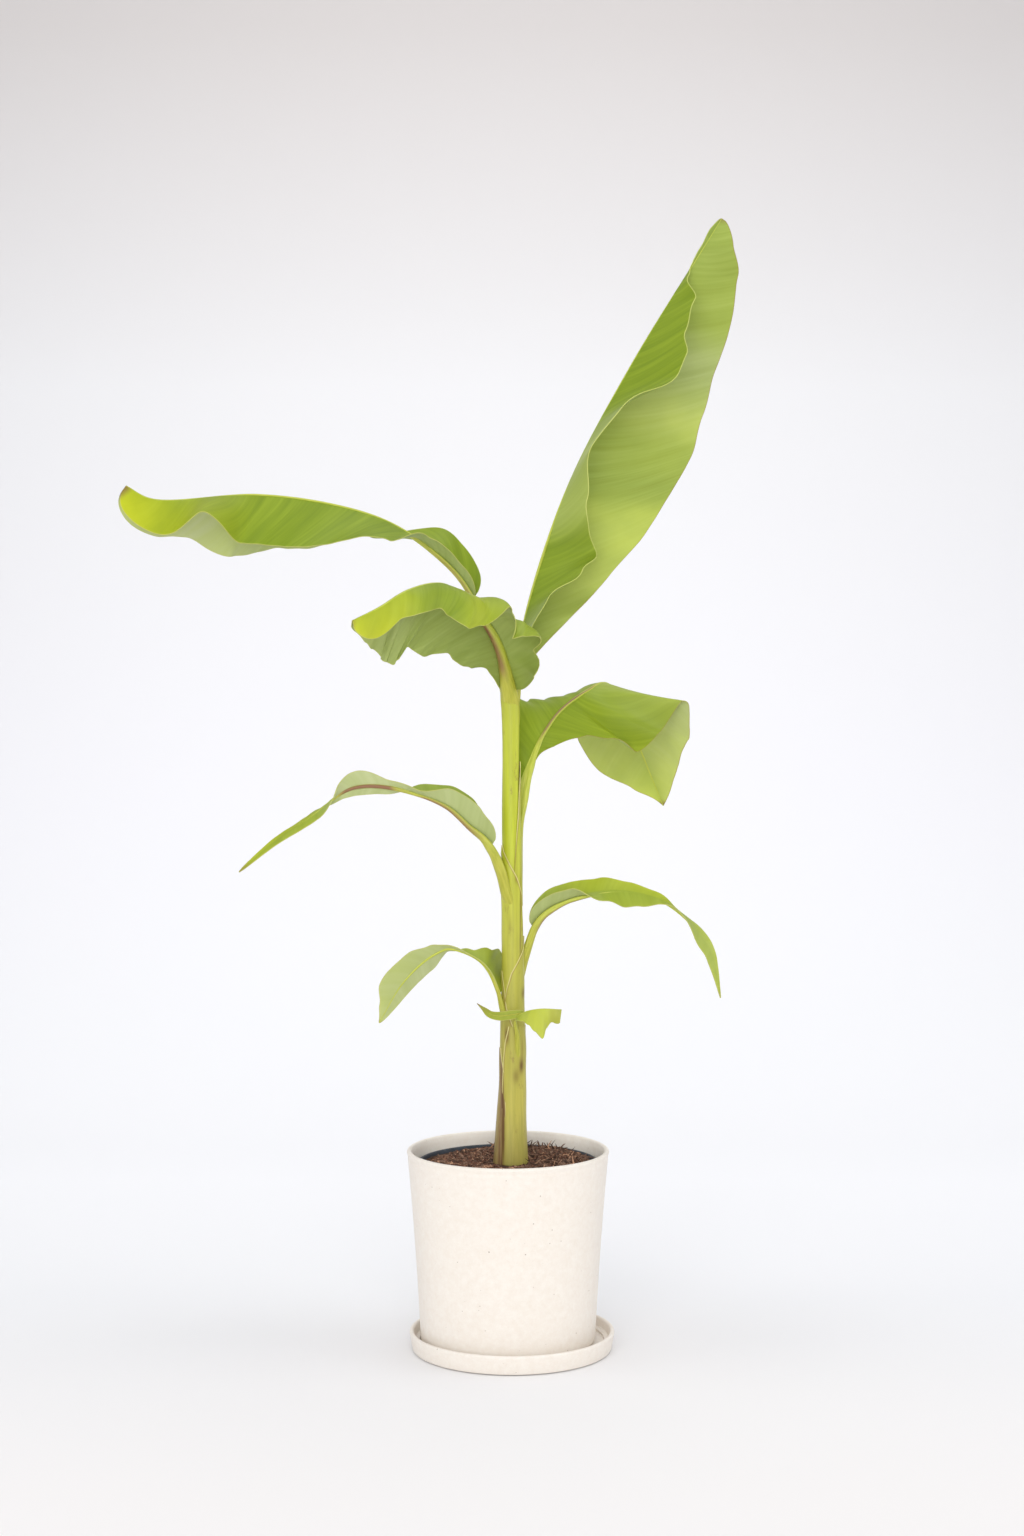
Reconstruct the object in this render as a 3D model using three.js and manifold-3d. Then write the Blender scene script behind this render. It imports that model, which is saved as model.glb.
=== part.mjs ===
// Potted banana plant in millimetres, +Z up. The origin is the middle of the saucer's flat
// underside. The front of the plant is the side that faces -Y, with +X to its right.
import * as THREE from "three";
import { mergeVertices } from "three/addons/utils/BufferGeometryUtils.js";
import Module from "manifold-3d";

const wasm = await Module();
wasm.setup();

// Clearance that neighbouring pieces keep to each other.
const GAP = 0.3;

// Saucer: a shallow dish with a rounded lip and a low step round its floor.
const SAUCER_FOOT_RADIUS = 95;
const SAUCER_RIM_RADIUS = 101.5;
const SAUCER_LIP = 4.5;
const SAUCER_HEIGHT = 19.5;
const SAUCER_FLOOR = 8;
const SAUCER_STEP_RADIUS = 92;
const SAUCER_STEP = 2.3;

// Ceramic pot, which stands a little to the left of the saucer's middle.
const POT_SHIFT = -4;
const POT_HEIGHT = 190.5;
const POT_FLOOR = 9;
const POT_LIP = 5;
const POT_EDGE = 5;
// Outer radius at each height above the pot's own underside.
const POT_SIDE = [
  [87, 12],
  [89.5, 57],
  [93.8, 112],
  [98.6, 180],
];
const POT_RIM_RADIUS = 100;

// Thin plastic nursery pot inside the ceramic one.
const NURSERY_BASE_RADIUS = 76;
const NURSERY_RIM_RADIUS = 89.5;
const NURSERY_HEIGHT = 169;
const NURSERY_WALL = 2;

// Soil: radius and height, from its edge to the flat place under the stem.
const SOIL_BASE_RADIUS = 73.6;
const SOIL_SURFACE = [
  [86.9, 162.5],
  [58, 166],
  [36, 164.6],
  [27, 163.8],
];

// Stem rings from the soil up: sideways place, height and radius.
const STEM_RINGS = [
  [-1, 184, 18.2],
  [-1, 217, 15.7],
  [0.5, 307, 13],
  [0, 334, 11.8],
  [0, 437, 9.8],
  [-1, 465, 10.8],
  [-1, 520, 9.2],
  [-1, 584, 7.9],
  [-1.5, 630, 8.6],
  [-2, 650, 9.2],
];
const STEM_SIDES = 20;
const STEM_STEPS = 25;

// Leaf blades: a hundredth of the length thick at least, and never thinner than this.
const BLADE_SHARE = 0.0106;
const BLADE_LEAST = 1.6;
const BLADE_EDGE = 1.2;
// Facets of a blade: the length of a row, the width of a column and the most of each.
const ROW_LENGTH = 20;
const COLUMN_WIDTH = 18;
const [FEWEST_ROWS, MOST_ROWS] = [8, 18];
const [FEWEST_COLUMNS, MOST_COLUMNS] = [2, 5];
const RIB_SIDES = 6;
// Smallest turn of a half blade, in radians, which stands for a straight one.
const LEAST_TURN = 1e-4;

// Each leaf is a midrib and two half blades. rib holds points on the midrib from the sheath to
// the tip, petiole is the share of it that has no blade, radius is the rib's at its two ends,
// and heading is the way in which the leaf points, in degrees from +X. A half's width in mm
// grows to its share "widest", with the powers "rise" and "fall" before and after that share.
// fold is the angle in which a half leaves the rib, and curl how far it turns on its way to the
// margin, in degrees, raised or drooping. roll turns both halves about the rib. A value is a
// number, or a list of pairs of a share of the blade's length and the value there.
const LEAVES = {
  // The tall upright leaf to the upper right, folded like a roof along its rib.
  leaf_1: {
    rib: [[3.5, 5.5, 644], [12, 26, 722], [54, 48, 852], [116, 64, 972], [211, 78, 1126]],
    petiole: 0.05, radius: [4.2, 1], heading: 4, sweep: 0.3,
    left: { width: 102, widest: 0.48, rise: 0.72, fall: 0.62, curl: 0,
      fold: [[0, -80], [0.5, -78], [1, -60]] },
    right: { width: 86, widest: 0.45, rise: 1.3, fall: 0.8, curl: [[0, -10], [1, 10]],
      fold: [[0, -50], [0.2, -30], [0.36, -1], [0.58, -30], [0.8, -4], [1, -30]] },
  },
  // The long arched leaf to the left: a raised trough at its base, then a roof.
  leaf_2: {
    rib: [[-6.5, 7, 644], [-20, 16, 702], [-46, 22, 757], [-77, 16, 789], [-120, 4, 817],
      [-171, -8, 833], [-246, -26, 842], [-345, -50, 836], [-373, -56, 848]],
    petiole: 0.22, radius: [4.2, 1], heading: 188, sweep: 0.3,
    left: { width: 61, widest: 0.5, rise: 0.5, fall: 0.5, curl: [[0, 0], [1, -10]],
      fold: [[0, 50], [0.1, 42], [0.19, 10], [0.26, -22], [0.5, -52], [0.66, -56],
        [0.78, -14], [0.9, -60], [1, -60]] },
    right: { width: 66, widest: 0.5, rise: 0.5, fall: 0.5, curl: 0,
      fold: [[0, 60], [0.1, 45], [0.26, -20], [0.5, -48], [0.68, -72], [0.8, -42], [1, -60]] },
  },
  // The leaf that comes forward and then turns left, with its near half rolled over.
  leaf_3: {
    rib: [[-4, -4, 644], [-12, -18, 683], [-24, -45, 718], [-42, -80, 739], [-67, -112, 753],
      [-96, -135, 746], [-123, -150, 729], [-146, -160, 717]],
    petiole: 0.03, radius: [6.2, 1], heading: [[0, 262], [0.4, 230], [1, 205]], sweep: 0.3,
    left: { width: 76, widest: 0.45, rise: 0.5, fall: 0.5,
      fold: [[0, -10], [0.15, 22], [0.28, 36], [0.42, 48], [0.56, 15], [0.8, 0], [1, -20]],
      curl: [[0, -20], [0.15, -80], [0.28, -95], [0.42, -175], [0.56, -70], [0.8, -70],
        [1, -30]] },
    right: { width: [[0, 80], [0.3, 66], [0.5, 68], [0.7, 82], [1, 80]], widest: 0.45,
      rise: 0.5, fall: 0.5, fold: [[0, -10], [0.4, -60], [1, -70]], curl: -10 },
  },
  // The leaf that rises at the right, crosses behind the stem and hangs over at its end.
  leaf_4: {
    rib: [[7, 8, 465], [15, 12, 544], [26, 34, 601], [64, 95, 641], [96, 140, 659],
      [119, 175, 632], [137, 190, 587], [161, 195, 528]],
    petiole: 0.2, radius: [5, 1], heading: [[0, 55], [1, 64]], sweep: 0.3,
    left: { width: [[0, 50], [0.22, 58], [0.5, 72], [1, 72]], widest: 0.5, rise: 0.5,
      fall: 0.85, fold: [[0, 10], [0.22, 44], [0.4, 6], [0.6, -20], [1, -10]],
      curl: [[0, -20], [0.22, -60], [0.45, -50], [0.6, 0], [1, 0]] },
    right: { width: 92, widest: 0.5, rise: 1.3, fall: 1, curl: 0,
      fold: [[0, -20], [0.3, -38], [0.5, -12], [1, -20]] },
  },
  // The narrow twisted leaf to the left.
  leaf_5: {
    rib: [[-6, -9, 453], [-13, -12, 480], [-24, -13, 504], [-41, -15, 521], [-63, -17, 539],
      [-107, -21, 555], [-143, -24, 559], [-163, -26, 554], [-198, -29, 528],
      [-235, -32, 502], [-265, -35, 476]],
    petiole: 0.12, radius: [4.5, 1], heading: 185, sweep: 0.1,
    roll: [[0, 0], [0.3, 0], [0.42, -70], [0.55, -70], [0.68, 40], [1, 40]],
    left: { width: [[0, 30], [0.2, 27], [0.35, 12], [0.5, 15], [0.65, 9], [1, 7]],
      widest: 0.2, rise: 0.5, fall: 0.5, curl: 0,
      fold: [[0, 60], [0.18, 60], [0.32, 30], [0.42, 0], [1, 0]] },
    right: { width: [[0, 28], [0.2, 28], [0.35, 14], [0.5, 11], [0.65, 9], [1, 7]],
      widest: 0.2, rise: 0.5, fall: 0.5, curl: 0,
      fold: [[0, 60], [0.18, 62], [0.32, 40], [0.42, 0], [1, 0]] },
  },
  // The low leaf to the right, a narrow arch that hangs down at its end.
  leaf_6: {
    rib: [[8, 8, 377], [17, 8, 401], [28, 8, 419], [53, 8, 441], [97, 4, 454], [126, 0, 452],
      [150, -3, 444], [175, -6, 424], [195, -8, 395], [205, -10, 350]],
    petiole: 0.1, radius: [4.5, 1], heading: -4, sweep: 0.1,
    roll: [[0, 0], [0.2, 0], [0.34, -55], [0.5, -50], [0.6, 10], [0.8, -40], [1, -40]],
    left: { width: [[0, 22], [0.2, 23], [0.4, 14], [0.6, 10], [1, 9]], widest: 0.25,
      rise: 0.5, fall: 0.6, fold: [[0, 65], [0.18, 60], [0.32, 20], [1, 0]], curl: 0 },
    right: { width: [[0, 22], [0.2, 16], [0.34, 11], [0.45, 18], [0.6, 9], [1, 9]],
      widest: 0.25, rise: 0.5, fall: 0.6, fold: [[0, 60], [0.18, 45], [0.32, 0], [1, 0]],
      curl: 0 },
  },
  // The short drooping leaf low on the left.
  leaf_7: {
    rib: [[-7, -6, 336], [-13, -8, 358], [-22, -9, 377], [-34, -10, 389], [-61, -14, 399],
      [-71, -15, 396], [-87, -17, 386], [-109, -19, 363], [-130, -22, 327]],
    petiole: 0.1, radius: [3, 0.8], heading: 188, sweep: 0.1,
    roll: [[0, 0], [0.25, 0], [0.5, -60], [1, -60]],
    left: { width: [[0, 14], [0.4, 10], [0.62, 22], [1, 26]], widest: 0.6, rise: 0.8,
      fall: 0.6, fold: 0, curl: 0 },
    right: { width: [[0, 34], [0.15, 24], [0.28, 6], [0.4, 4], [0.6, 11], [1, 11]],
      widest: 0.5, rise: 0.15, fall: 0.6, fold: [[0, 55], [0.2, 45], [0.35, 0], [1, 0]],
      curl: 0 },
  },
  // The oldest leaf, a small scrap on the front of the stem.
  leaf_8: {
    rib: [[4, -14, 289], [4, -17, 312], [3, -23, 330], [12, -32, 339], [28, -38, 343],
      [48, -36, 342]],
    petiole: 0.42, radius: [3, 0.8], heading: -10, sweep: 0,
    left: { width: [[0, 12], [1, 14]], widest: 0.8, rise: 0.5, fall: 0.15, fold: -20,
      curl: [[0, 0], [1, -60]] },
    right: { width: [[0, 5], [0.35, 11], [0.66, 28], [0.85, 20], [1, 12]], widest: 0.8,
      rise: 0.5, fall: 0.15, fold: [[0, -20], [1, -70]], curl: -20 },
  },
};

// A strip torn off the oldest leaf, which still hangs on its petiole and points left.
const TORN_STRIP = {
  rib: [[6, -24, 331], [-8, -30, 336], [-22, -34, 340], [-34, -36, 350]],
  petiole: 0.1, radius: [1.2, 0.8], heading: 180, sweep: 0,
  left: { width: 4.5, widest: 0.6, rise: 0.5, fall: 0.6, fold: -50, curl: 0 },
  right: { width: 4.5, widest: 0.6, rise: 0.5, fall: 0.6, fold: 50, curl: 0 },
};

// Materials

const finish = (color, roughness) =>
  new THREE.MeshStandardMaterial({ color, roughness, metalness: 0, side: THREE.DoubleSide });
const STONEWARE = finish("#f3ede1", 0.55);
const PLASTIC = finish("#3a414b", 0.5);
const SOIL = finish("#6b4a3a", 0.95);
const STEM_SKIN = finish("#b8b45e", 0.5);
const LEAF_SKIN = finish("#8fae3c", 0.45);

// Helpers for closed shapes

const LATHE_SIDES = 40;

// Points of an arc from one angle to another, in degrees, in the profile's plane.
function arc(x, y, radius, from, to, steps) {
  return Array.from({ length: steps + 1 }, (_, i) => {
    const angle = THREE.MathUtils.degToRad(from + ((to - from) * i) / steps);
    return [x + radius * Math.cos(angle), y + radius * Math.sin(angle)];
  });
}

// Turns a profile of [radius, height] points, which starts and ends on the axis, about Z.
function turned(profile) {
  const points = profile.map(([radius, height]) => new THREE.Vector2(radius, height));
  return new THREE.LatheGeometry(points, LATHE_SIDES).rotateX(Math.PI / 2);
}

// Joins rings of points into a closed skin. Each ring has the same number of points.
function skinned(rings) {
  const sides = rings[0].length;
  const positions = rings.flat().flatMap((point) => point.toArray());
  const index = [];
  for (let ring = 0; ring + 1 < rings.length; ring++) {
    for (let side = 0; side < sides; side++) {
      const a = ring * sides + side;
      const b = ring * sides + ((side + 1) % sides);
      index.push(a, b, b + sides, a, b + sides, a + sides);
    }
  }
  const last = (rings.length - 1) * sides;
  for (let side = 1; side + 1 < sides; side++) {
    index.push(0, side + 1, side);
    index.push(last, last + side, last + side + 1);
  }
  const geometry = new THREE.BufferGeometry();
  geometry.setAttribute("position", new THREE.Float32BufferAttribute(positions, 3));
  return geometry.setIndex(index);
}

function toSolid(geometry) {
  const bare = geometry.clone();
  bare.deleteAttribute("normal");
  bare.deleteAttribute("uv");
  const merged = mergeVertices(bare, 1e-3);
  return new wasm.Manifold(
    new wasm.Mesh({
      numProp: 3,
      vertProperties: new Float32Array(merged.attributes.position.array),
      triVerts: new Uint32Array(merged.index.array),
    }),
  );
}

function toGeometry(solid) {
  const { vertProperties, triVerts } = solid.getMesh();
  const geometry = new THREE.BufferGeometry();
  geometry.setAttribute("position", new THREE.BufferAttribute(vertProperties, 3));
  geometry.setIndex(new THREE.BufferAttribute(triVerts, 1));
  geometry.computeVertexNormals();
  return geometry;
}

// The largest body of a solid, once loose scraps have been cut off it.
function largestBody(solid) {
  return solid.decompose().reduce((a, b) => (a.volume() > b.volume() ? a : b));
}

function named(name, geometry, material) {
  const mesh = new THREE.Mesh(geometry, material);
  mesh.name = name;
  return mesh;
}

// Saucer, pots and soil

function saucerProfile() {
  const lip = SAUCER_LIP / 2;
  const middle = SAUCER_RIM_RADIUS - lip;
  const wallFoot = SAUCER_STEP_RADIUS + 2 * lip - 1;
  return [
    [0, 0],
    [SAUCER_FOOT_RADIUS, 0],
    [SAUCER_FOOT_RADIUS + 2, 2],
    ...arc(middle, SAUCER_HEIGHT - lip, lip, 0, 180, 4),
    [wallFoot, SAUCER_FLOOR + SAUCER_STEP],
    [SAUCER_STEP_RADIUS, SAUCER_FLOOR + SAUCER_STEP],
    [SAUCER_STEP_RADIUS - 1, SAUCER_FLOOR],
    [0, SAUCER_FLOOR],
  ];
}

function potProfile() {
  const lip = POT_LIP / 2;
  const [footRadius] = POT_SIDE[0];
  const inside = POT_SIDE.map(([radius, height]) => [radius - POT_LIP, height]).reverse();
  inside[inside.length - 1][1] += POT_FLOOR / 2;
  const insideFoot = footRadius - POT_LIP - POT_EDGE;
  return [
    [0, 0],
    ...arc(footRadius - POT_EDGE, POT_EDGE, POT_EDGE, -90, 0, 3),
    ...POT_SIDE,
    ...arc(POT_RIM_RADIUS - lip, POT_HEIGHT - lip, lip, 0, 180, 4),
    ...inside,
    [insideFoot, POT_FLOOR],
    [0, POT_FLOOR],
  ];
}

function nurseryProfile() {
  return [
    [0, 0],
    [NURSERY_BASE_RADIUS, 0],
    [NURSERY_RIM_RADIUS, NURSERY_HEIGHT],
    [NURSERY_RIM_RADIUS - NURSERY_WALL, NURSERY_HEIGHT],
    [NURSERY_BASE_RADIUS - NURSERY_WALL, NURSERY_WALL],
    [0, NURSERY_WALL],
  ];
}

function soilProfile() {
  const [, stemBed] = SOIL_SURFACE[SOIL_SURFACE.length - 1];
  return [[0, 0], [SOIL_BASE_RADIUS, 0], ...SOIL_SURFACE, [0, stemBed]];
}

// The pots and the soil stand one inside the other, each on the floor of the one around it.
function pottedSoil() {
  const group = new THREE.Group();
  group.position.set(POT_SHIFT, 0, SAUCER_FLOOR + GAP);
  const nursery = named("nursery_pot", turned(nurseryProfile()), PLASTIC);
  nursery.position.z = POT_FLOOR + GAP;
  const soil = named("soil", turned(soilProfile()), SOIL);
  soil.position.z = NURSERY_WALL + GAP;
  nursery.add(soil);
  return group.add(named("pot", turned(potProfile()), STONEWARE), nursery);
}

// Stem

// A tapering tube through the stem's rings. extra is a clearance added all round and on top.
function stemGeometry(extra) {
  const keys = STEM_RINGS.map(([x, height, radius]) => new THREE.Vector3(x, radius, height));
  const curve = new THREE.CatmullRomCurve3(keys, false, "centripetal");
  const rings = Array.from({ length: STEM_STEPS + 1 }, (_, step) => {
    const { x, y: radius, z } = curve.getPointAt(step / STEM_STEPS);
    const height = step === STEM_STEPS ? z + extra : z;
    return Array.from({ length: STEM_SIDES }, (_, side) => {
      const angle = (2 * Math.PI * side) / STEM_SIDES;
      const reach = radius + extra;
      return new THREE.Vector3(
        x + reach * Math.cos(angle), reach * Math.sin(angle), height);
    });
  });
  return skinned(rings);
}

// Leaves

// The value at a share of the blade: a number, or eased between listed pairs.
function keyed(value, share) {
  if (typeof value === "number") return value;
  const next = value.findIndex(([at]) => at > share);
  if (next === -1) return value[value.length - 1][1];
  const [[from, low], [to, high]] = [value[next - 1], value[next]];
  return low + (high - low) * THREE.MathUtils.smoothstep(share, from, to);
}

// Width of a half blade at a share of its length.
function halfWidth(half, share) {
  const rising = share < half.widest;
  const away = rising ? 1 - share / half.widest : (share - half.widest) / (1 - half.widest);
  const profile = Math.max(0, 1 - away * away) ** (rising ? half.rise : half.fall);
  return Math.max(BLADE_EDGE, keyed(half.width, share) * profile);
}

// Midrib place and axes at a share of its whole length: along it, to its right, and up.
function ribFrame(leaf, curve, along) {
  const share = Math.max(0, (along - leaf.petiole) / (1 - leaf.petiole));
  const heading = THREE.MathUtils.degToRad(keyed(leaf.heading, share));
  const tangent = curve.getTangentAt(along);
  const right = new THREE.Vector3(Math.sin(heading), -Math.cos(heading), 0);
  right.addScaledVector(tangent, -right.dot(tangent)).normalize();
  const roll = THREE.MathUtils.degToRad(keyed(leaf.roll ?? 0, share));
  right.applyAxisAngle(tangent, -roll);
  const up = new THREE.Vector3().crossVectors(right, tangent);
  return { share, place: curve.getPointAt(along), tangent, right, up };
}

// Number of facets of about one size along a length, within limits.
function facets(length, size, fewest, most) {
  return THREE.MathUtils.clamp(Math.round(length / size), fewest, most);
}

// Points of one half blade at one share, from the rib to the margin, offset along the normal.
function bladeRow(leaf, half, side, frame, offset) {
  const width = halfWidth(half, frame.share);
  const widest = keyed(half.width, half.widest);
  const columns = facets(widest, COLUMN_WIDTH, FEWEST_COLUMNS, MOST_COLUMNS);
  const fold = THREE.MathUtils.degToRad(keyed(half.fold, frame.share));
  const turn = THREE.MathUtils.degToRad(keyed(half.curl, frame.share));
  const curl = Math.abs(turn) < LEAST_TURN ? LEAST_TURN : turn;
  return Array.from({ length: columns + 1 }, (_, column) => {
    const across = column / columns;
    const angle = fold + curl * across;
    const out = (width * (Math.sin(angle) - Math.sin(fold))) / curl;
    const rise = (-width * (Math.cos(angle) - Math.cos(fold))) / curl;
    return frame.place.clone()
      .addScaledVector(frame.right, side * (out - offset * Math.sin(angle)))
      .addScaledVector(frame.up, rise + offset * Math.cos(angle))
      .addScaledVector(frame.tangent, leaf.sweep * width * across ** 1.5);
  });
}

// A half blade is a skin of rings, each once along its upper side and back along its lower.
function halfBlade(leaf, half, side, curve, rows) {
  const thickness = Math.max(BLADE_LEAST, BLADE_SHARE * curve.getLength());
  const rings = Array.from({ length: rows + 1 }, (_, row) => {
    const along = leaf.petiole + ((1 - leaf.petiole) * row) / rows;
    const frame = ribFrame(leaf, curve, along);
    const upper = bladeRow(leaf, half, side, frame, thickness / 2);
    const lower = bladeRow(leaf, half, side, frame, -thickness / 2);
    const ring = [...lower, ...upper.reverse()];
    return side > 0 ? ring.reverse() : ring;
  });
  return toSolid(skinned(rings));
}

// The petiole and the midrib, one tapering tube.
function ribTube(leaf, curve, steps) {
  const [base, tip] = leaf.radius;
  const rings = Array.from({ length: steps + 1 }, (_, step) => {
    const along = step / steps;
    const { place, right, up } = ribFrame(leaf, curve, along);
    const radius = THREE.MathUtils.lerp(base, tip, along);
    return Array.from({ length: RIB_SIDES }, (_, side) => {
      const angle = (-2 * Math.PI * side) / RIB_SIDES;
      return place.clone()
        .addScaledVector(right, radius * Math.cos(angle))
        .addScaledVector(up, radius * Math.sin(angle));
    });
  });
  return toSolid(skinned(rings));
}

function leafSolid(leaf) {
  const points = leaf.rib.map((point) => new THREE.Vector3(...point));
  const curve = new THREE.CatmullRomCurve3(points, false, "centripetal");
  const rows = facets(curve.getLength(), ROW_LENGTH, FEWEST_ROWS, MOST_ROWS);
  return ribTube(leaf, curve, rows)
    .add(halfBlade(leaf, leaf.left, -1, curve, rows))
    .add(halfBlade(leaf, leaf.right, 1, curve, rows));
}

// Leaves, cut clear of the stem that their sheaths come out of.
function leaves() {
  const stemSpace = toSolid(stemGeometry(GAP));
  return Object.entries(LEAVES).map(([name, leaf]) => {
    const whole = name === "leaf_8" ? leafSolid(leaf).add(leafSolid(TORN_STRIP)) : leafSolid(leaf);
    return named(name, toGeometry(largestBody(whole.subtract(stemSpace))), LEAF_SKIN);
  });
}

const plant = new THREE.Group();
plant.name = "banana_plant";
plant.add(
  named("saucer", turned(saucerProfile()), STONEWARE),
  pottedSoil(),
  named("pseudostem", stemGeometry(0), STEM_SKIN),
  ...leaves(),
);

export default plant;
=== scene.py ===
# %% [markdown]
# Potted banana plant: a lesson in dressing a plain solid model in Blender.
#
# The plain model is already packed: a saucer, two pots, soil, a stem and leaves. It is the
# frame, which nothing here moves. Each cell below makes one part of the real plant as it
# looks, in the same place, and lets it stand in for the plain solid. All lengths are written
# in millimetres, as on a workshop drawing, and turned to Blender's metres in one place.

# %% Load the frame
import math
import random

import bmesh
import bpy
import numpy as np
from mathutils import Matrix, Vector, noise


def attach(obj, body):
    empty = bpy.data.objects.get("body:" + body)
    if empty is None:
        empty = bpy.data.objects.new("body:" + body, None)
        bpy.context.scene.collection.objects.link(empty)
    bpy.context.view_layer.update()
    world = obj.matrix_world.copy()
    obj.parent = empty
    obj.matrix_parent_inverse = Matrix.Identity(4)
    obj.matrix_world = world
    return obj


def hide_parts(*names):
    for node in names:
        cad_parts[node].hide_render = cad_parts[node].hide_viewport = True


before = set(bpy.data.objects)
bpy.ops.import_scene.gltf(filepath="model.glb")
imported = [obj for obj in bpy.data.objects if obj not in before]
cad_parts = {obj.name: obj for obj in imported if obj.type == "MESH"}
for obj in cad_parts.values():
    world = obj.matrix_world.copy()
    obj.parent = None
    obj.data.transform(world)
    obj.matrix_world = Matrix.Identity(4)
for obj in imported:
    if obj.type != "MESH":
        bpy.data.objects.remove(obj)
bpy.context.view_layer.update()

MM = 0.001

# %% [markdown]
# Everything that follows needs five small tools. One turns a colour as it is read off a
# screen, an sRGB hex value, into the linear value that Blender's shaders work in. One adds a
# node to a material with its settings and links, and one starts a material without any. One
# deselects everything, because Blender's operators act on all that is selected, and the
# loaded frame comes in selected. The last one reports what was made.

# %% Small tools
def linear(hex_colour):
    """A linear colour with alpha, from an sRGB hex value such as "#8ab02c"."""
    channels = [int(hex_colour[i:i + 2], 16) / 255 for i in (1, 3, 5)]
    return [c / 12.92 if c <= 0.04045 else ((c + 0.055) / 1.055) ** 2.4 for c in channels] + [1]


def add(tree, kind, inputs=None, stops=None, **settings):
    """Adds a node. A value in inputs is a number, a colour or another node's output."""
    made = tree.nodes.new("ShaderNode" + kind)
    for name, value in settings.items():
        setattr(made, name, value)
    for name, value in (inputs or {}).items():
        if isinstance(value, bpy.types.NodeSocket):
            tree.links.new(value, made.inputs[name])
        else:
            made.inputs[name].default_value = value
    if stops:
        ramp = made.color_ramp
        while len(ramp.elements) < len(stops):
            ramp.elements.new(0.5)
        for element, (place, colour) in zip(ramp.elements, stops):
            element.position = place
            element.color = linear(colour)
    return made


def new_material(name):
    """A material with no nodes yet."""
    material = bpy.data.materials.new(name)
    material.use_nodes = True
    material.node_tree.nodes.clear()
    return material, material.node_tree


def nothing_selected():
    if bpy.context.object and bpy.context.object.mode != "OBJECT":
        bpy.ops.object.mode_set(mode="OBJECT")
    bpy.ops.object.select_all(action="DESELECT")


def report(piece):
    print(piece.name, len(piece.data.polygons), "faces")


# %% [markdown]
# A camera sees a thing as the photograph does when it stands in the same place and has the
# same field of view. This one stands 2.4 m in front of the pot at about half the plant's
# height, and looks down by a little over two degrees. Its field was worked out from the
# ellipses that the pot's rim and the saucer draw in the picture.

# %% Camera
CAMERA_PLACE = (0, -2400, 670)
CAMERA_DOWN = 2.25
IMAGE_HEIGHT = 1536
FOCAL_PIXELS = 2443
SENSOR = 36

camera_data = bpy.data.cameras.new("camera")
camera_data.sensor_fit = "VERTICAL"
camera_data.sensor_height = SENSOR
camera_data.lens = SENSOR * FOCAL_PIXELS / IMAGE_HEIGHT
camera = bpy.data.objects.new("camera", camera_data)
camera.location = [v * MM for v in CAMERA_PLACE]
camera.rotation_euler = (math.radians(90 - CAMERA_DOWN), 0, 0)
bpy.context.scene.collection.objects.link(camera)
bpy.context.scene.camera = camera
print("lens", round(camera_data.lens, 2), "mm")

# %% [markdown]
# A photographer's paper roll makes a floor and a wall with no corner between them. It is a
# plane whose back edge is pulled up, and the corner is then bevelled into a wide curve. The
# paper is white, with painted shade in its colour: a little greyer towards the top, where
# less light reaches it, and lighter or darker in bands that even out the lamps' light on the
# floor and the wall. From behind it is clear, so that the back of the plant can be looked at
# too.

# %% Floor and backdrop
PAPER_HALF_WIDTH = 4000
PAPER_FRONT = -3600
PAPER_BACK = 2600
PAPER_HEIGHT = 4200
PAPER_BEND = 1600
PAPER_BEND_STEPS = 32
# The tones run up the paper, by a point's way back plus its height, between these two.
PAPER_RUN = (-1000, 5000)
# These tones are painted shade on white paper: greyer towards the top, where less light reaches it,
# and lighter or darker in bands that even out the lamps' light.
PAPER_PAINTED_SHADE = [(0.09, "#f1eeec"), (0.2, "#ececed"), (0.3, "#f0f0f1"), (0.45, "#ececed"),
               (0.6, "#eae9eb"), (0.8, "#e7e6e6"), (0.93, "#d7d2cf")]


def paper_material():
    material, tree = new_material("matt white paper")
    place = add(tree, "TexCoord").outputs["Object"]
    xyz = add(tree, "SeparateXYZ", {"Vector": place})
    run = add(tree, "Math", {0: xyz.outputs["Y"], 1: xyz.outputs["Z"]}, operation="ADD")
    share = add(tree, "MapRange", {"Value": run.outputs[0], "From Min": PAPER_RUN[0] * MM,
                                   "From Max": PAPER_RUN[1] * MM})
    # Painted shade: the paper's colour changes up the roll, greyer towards the top.
    tone = add(tree, "ValToRGB", {"Fac": share.outputs[0]}, stops=PAPER_PAINTED_SHADE)
    matt = add(tree, "BsdfPrincipled", {"Base Color": tone.outputs["Color"], "Roughness": 0.9,
                                        "Specular IOR Level": 0.1})
    behind = add(tree, "NewGeometry").outputs["Backfacing"]
    clear = add(tree, "BsdfTransparent")
    seen = add(tree, "MixShader", {0: behind, 1: matt.outputs["BSDF"], 2: clear.outputs["BSDF"]})
    add(tree, "OutputMaterial", {"Surface": seen.outputs["Shader"]})
    return material


def select_back_edge(paper):
    """Selects the edge where floor and wall meet, in edit mode."""
    bpy.ops.mesh.select_all(action="DESELECT")
    mesh = bmesh.from_edit_mesh(paper.data)
    for vertex in mesh.verts:
        vertex.select = vertex.co.y > 0 and vertex.co.z < MM
    mesh.select_flush_mode()


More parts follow.
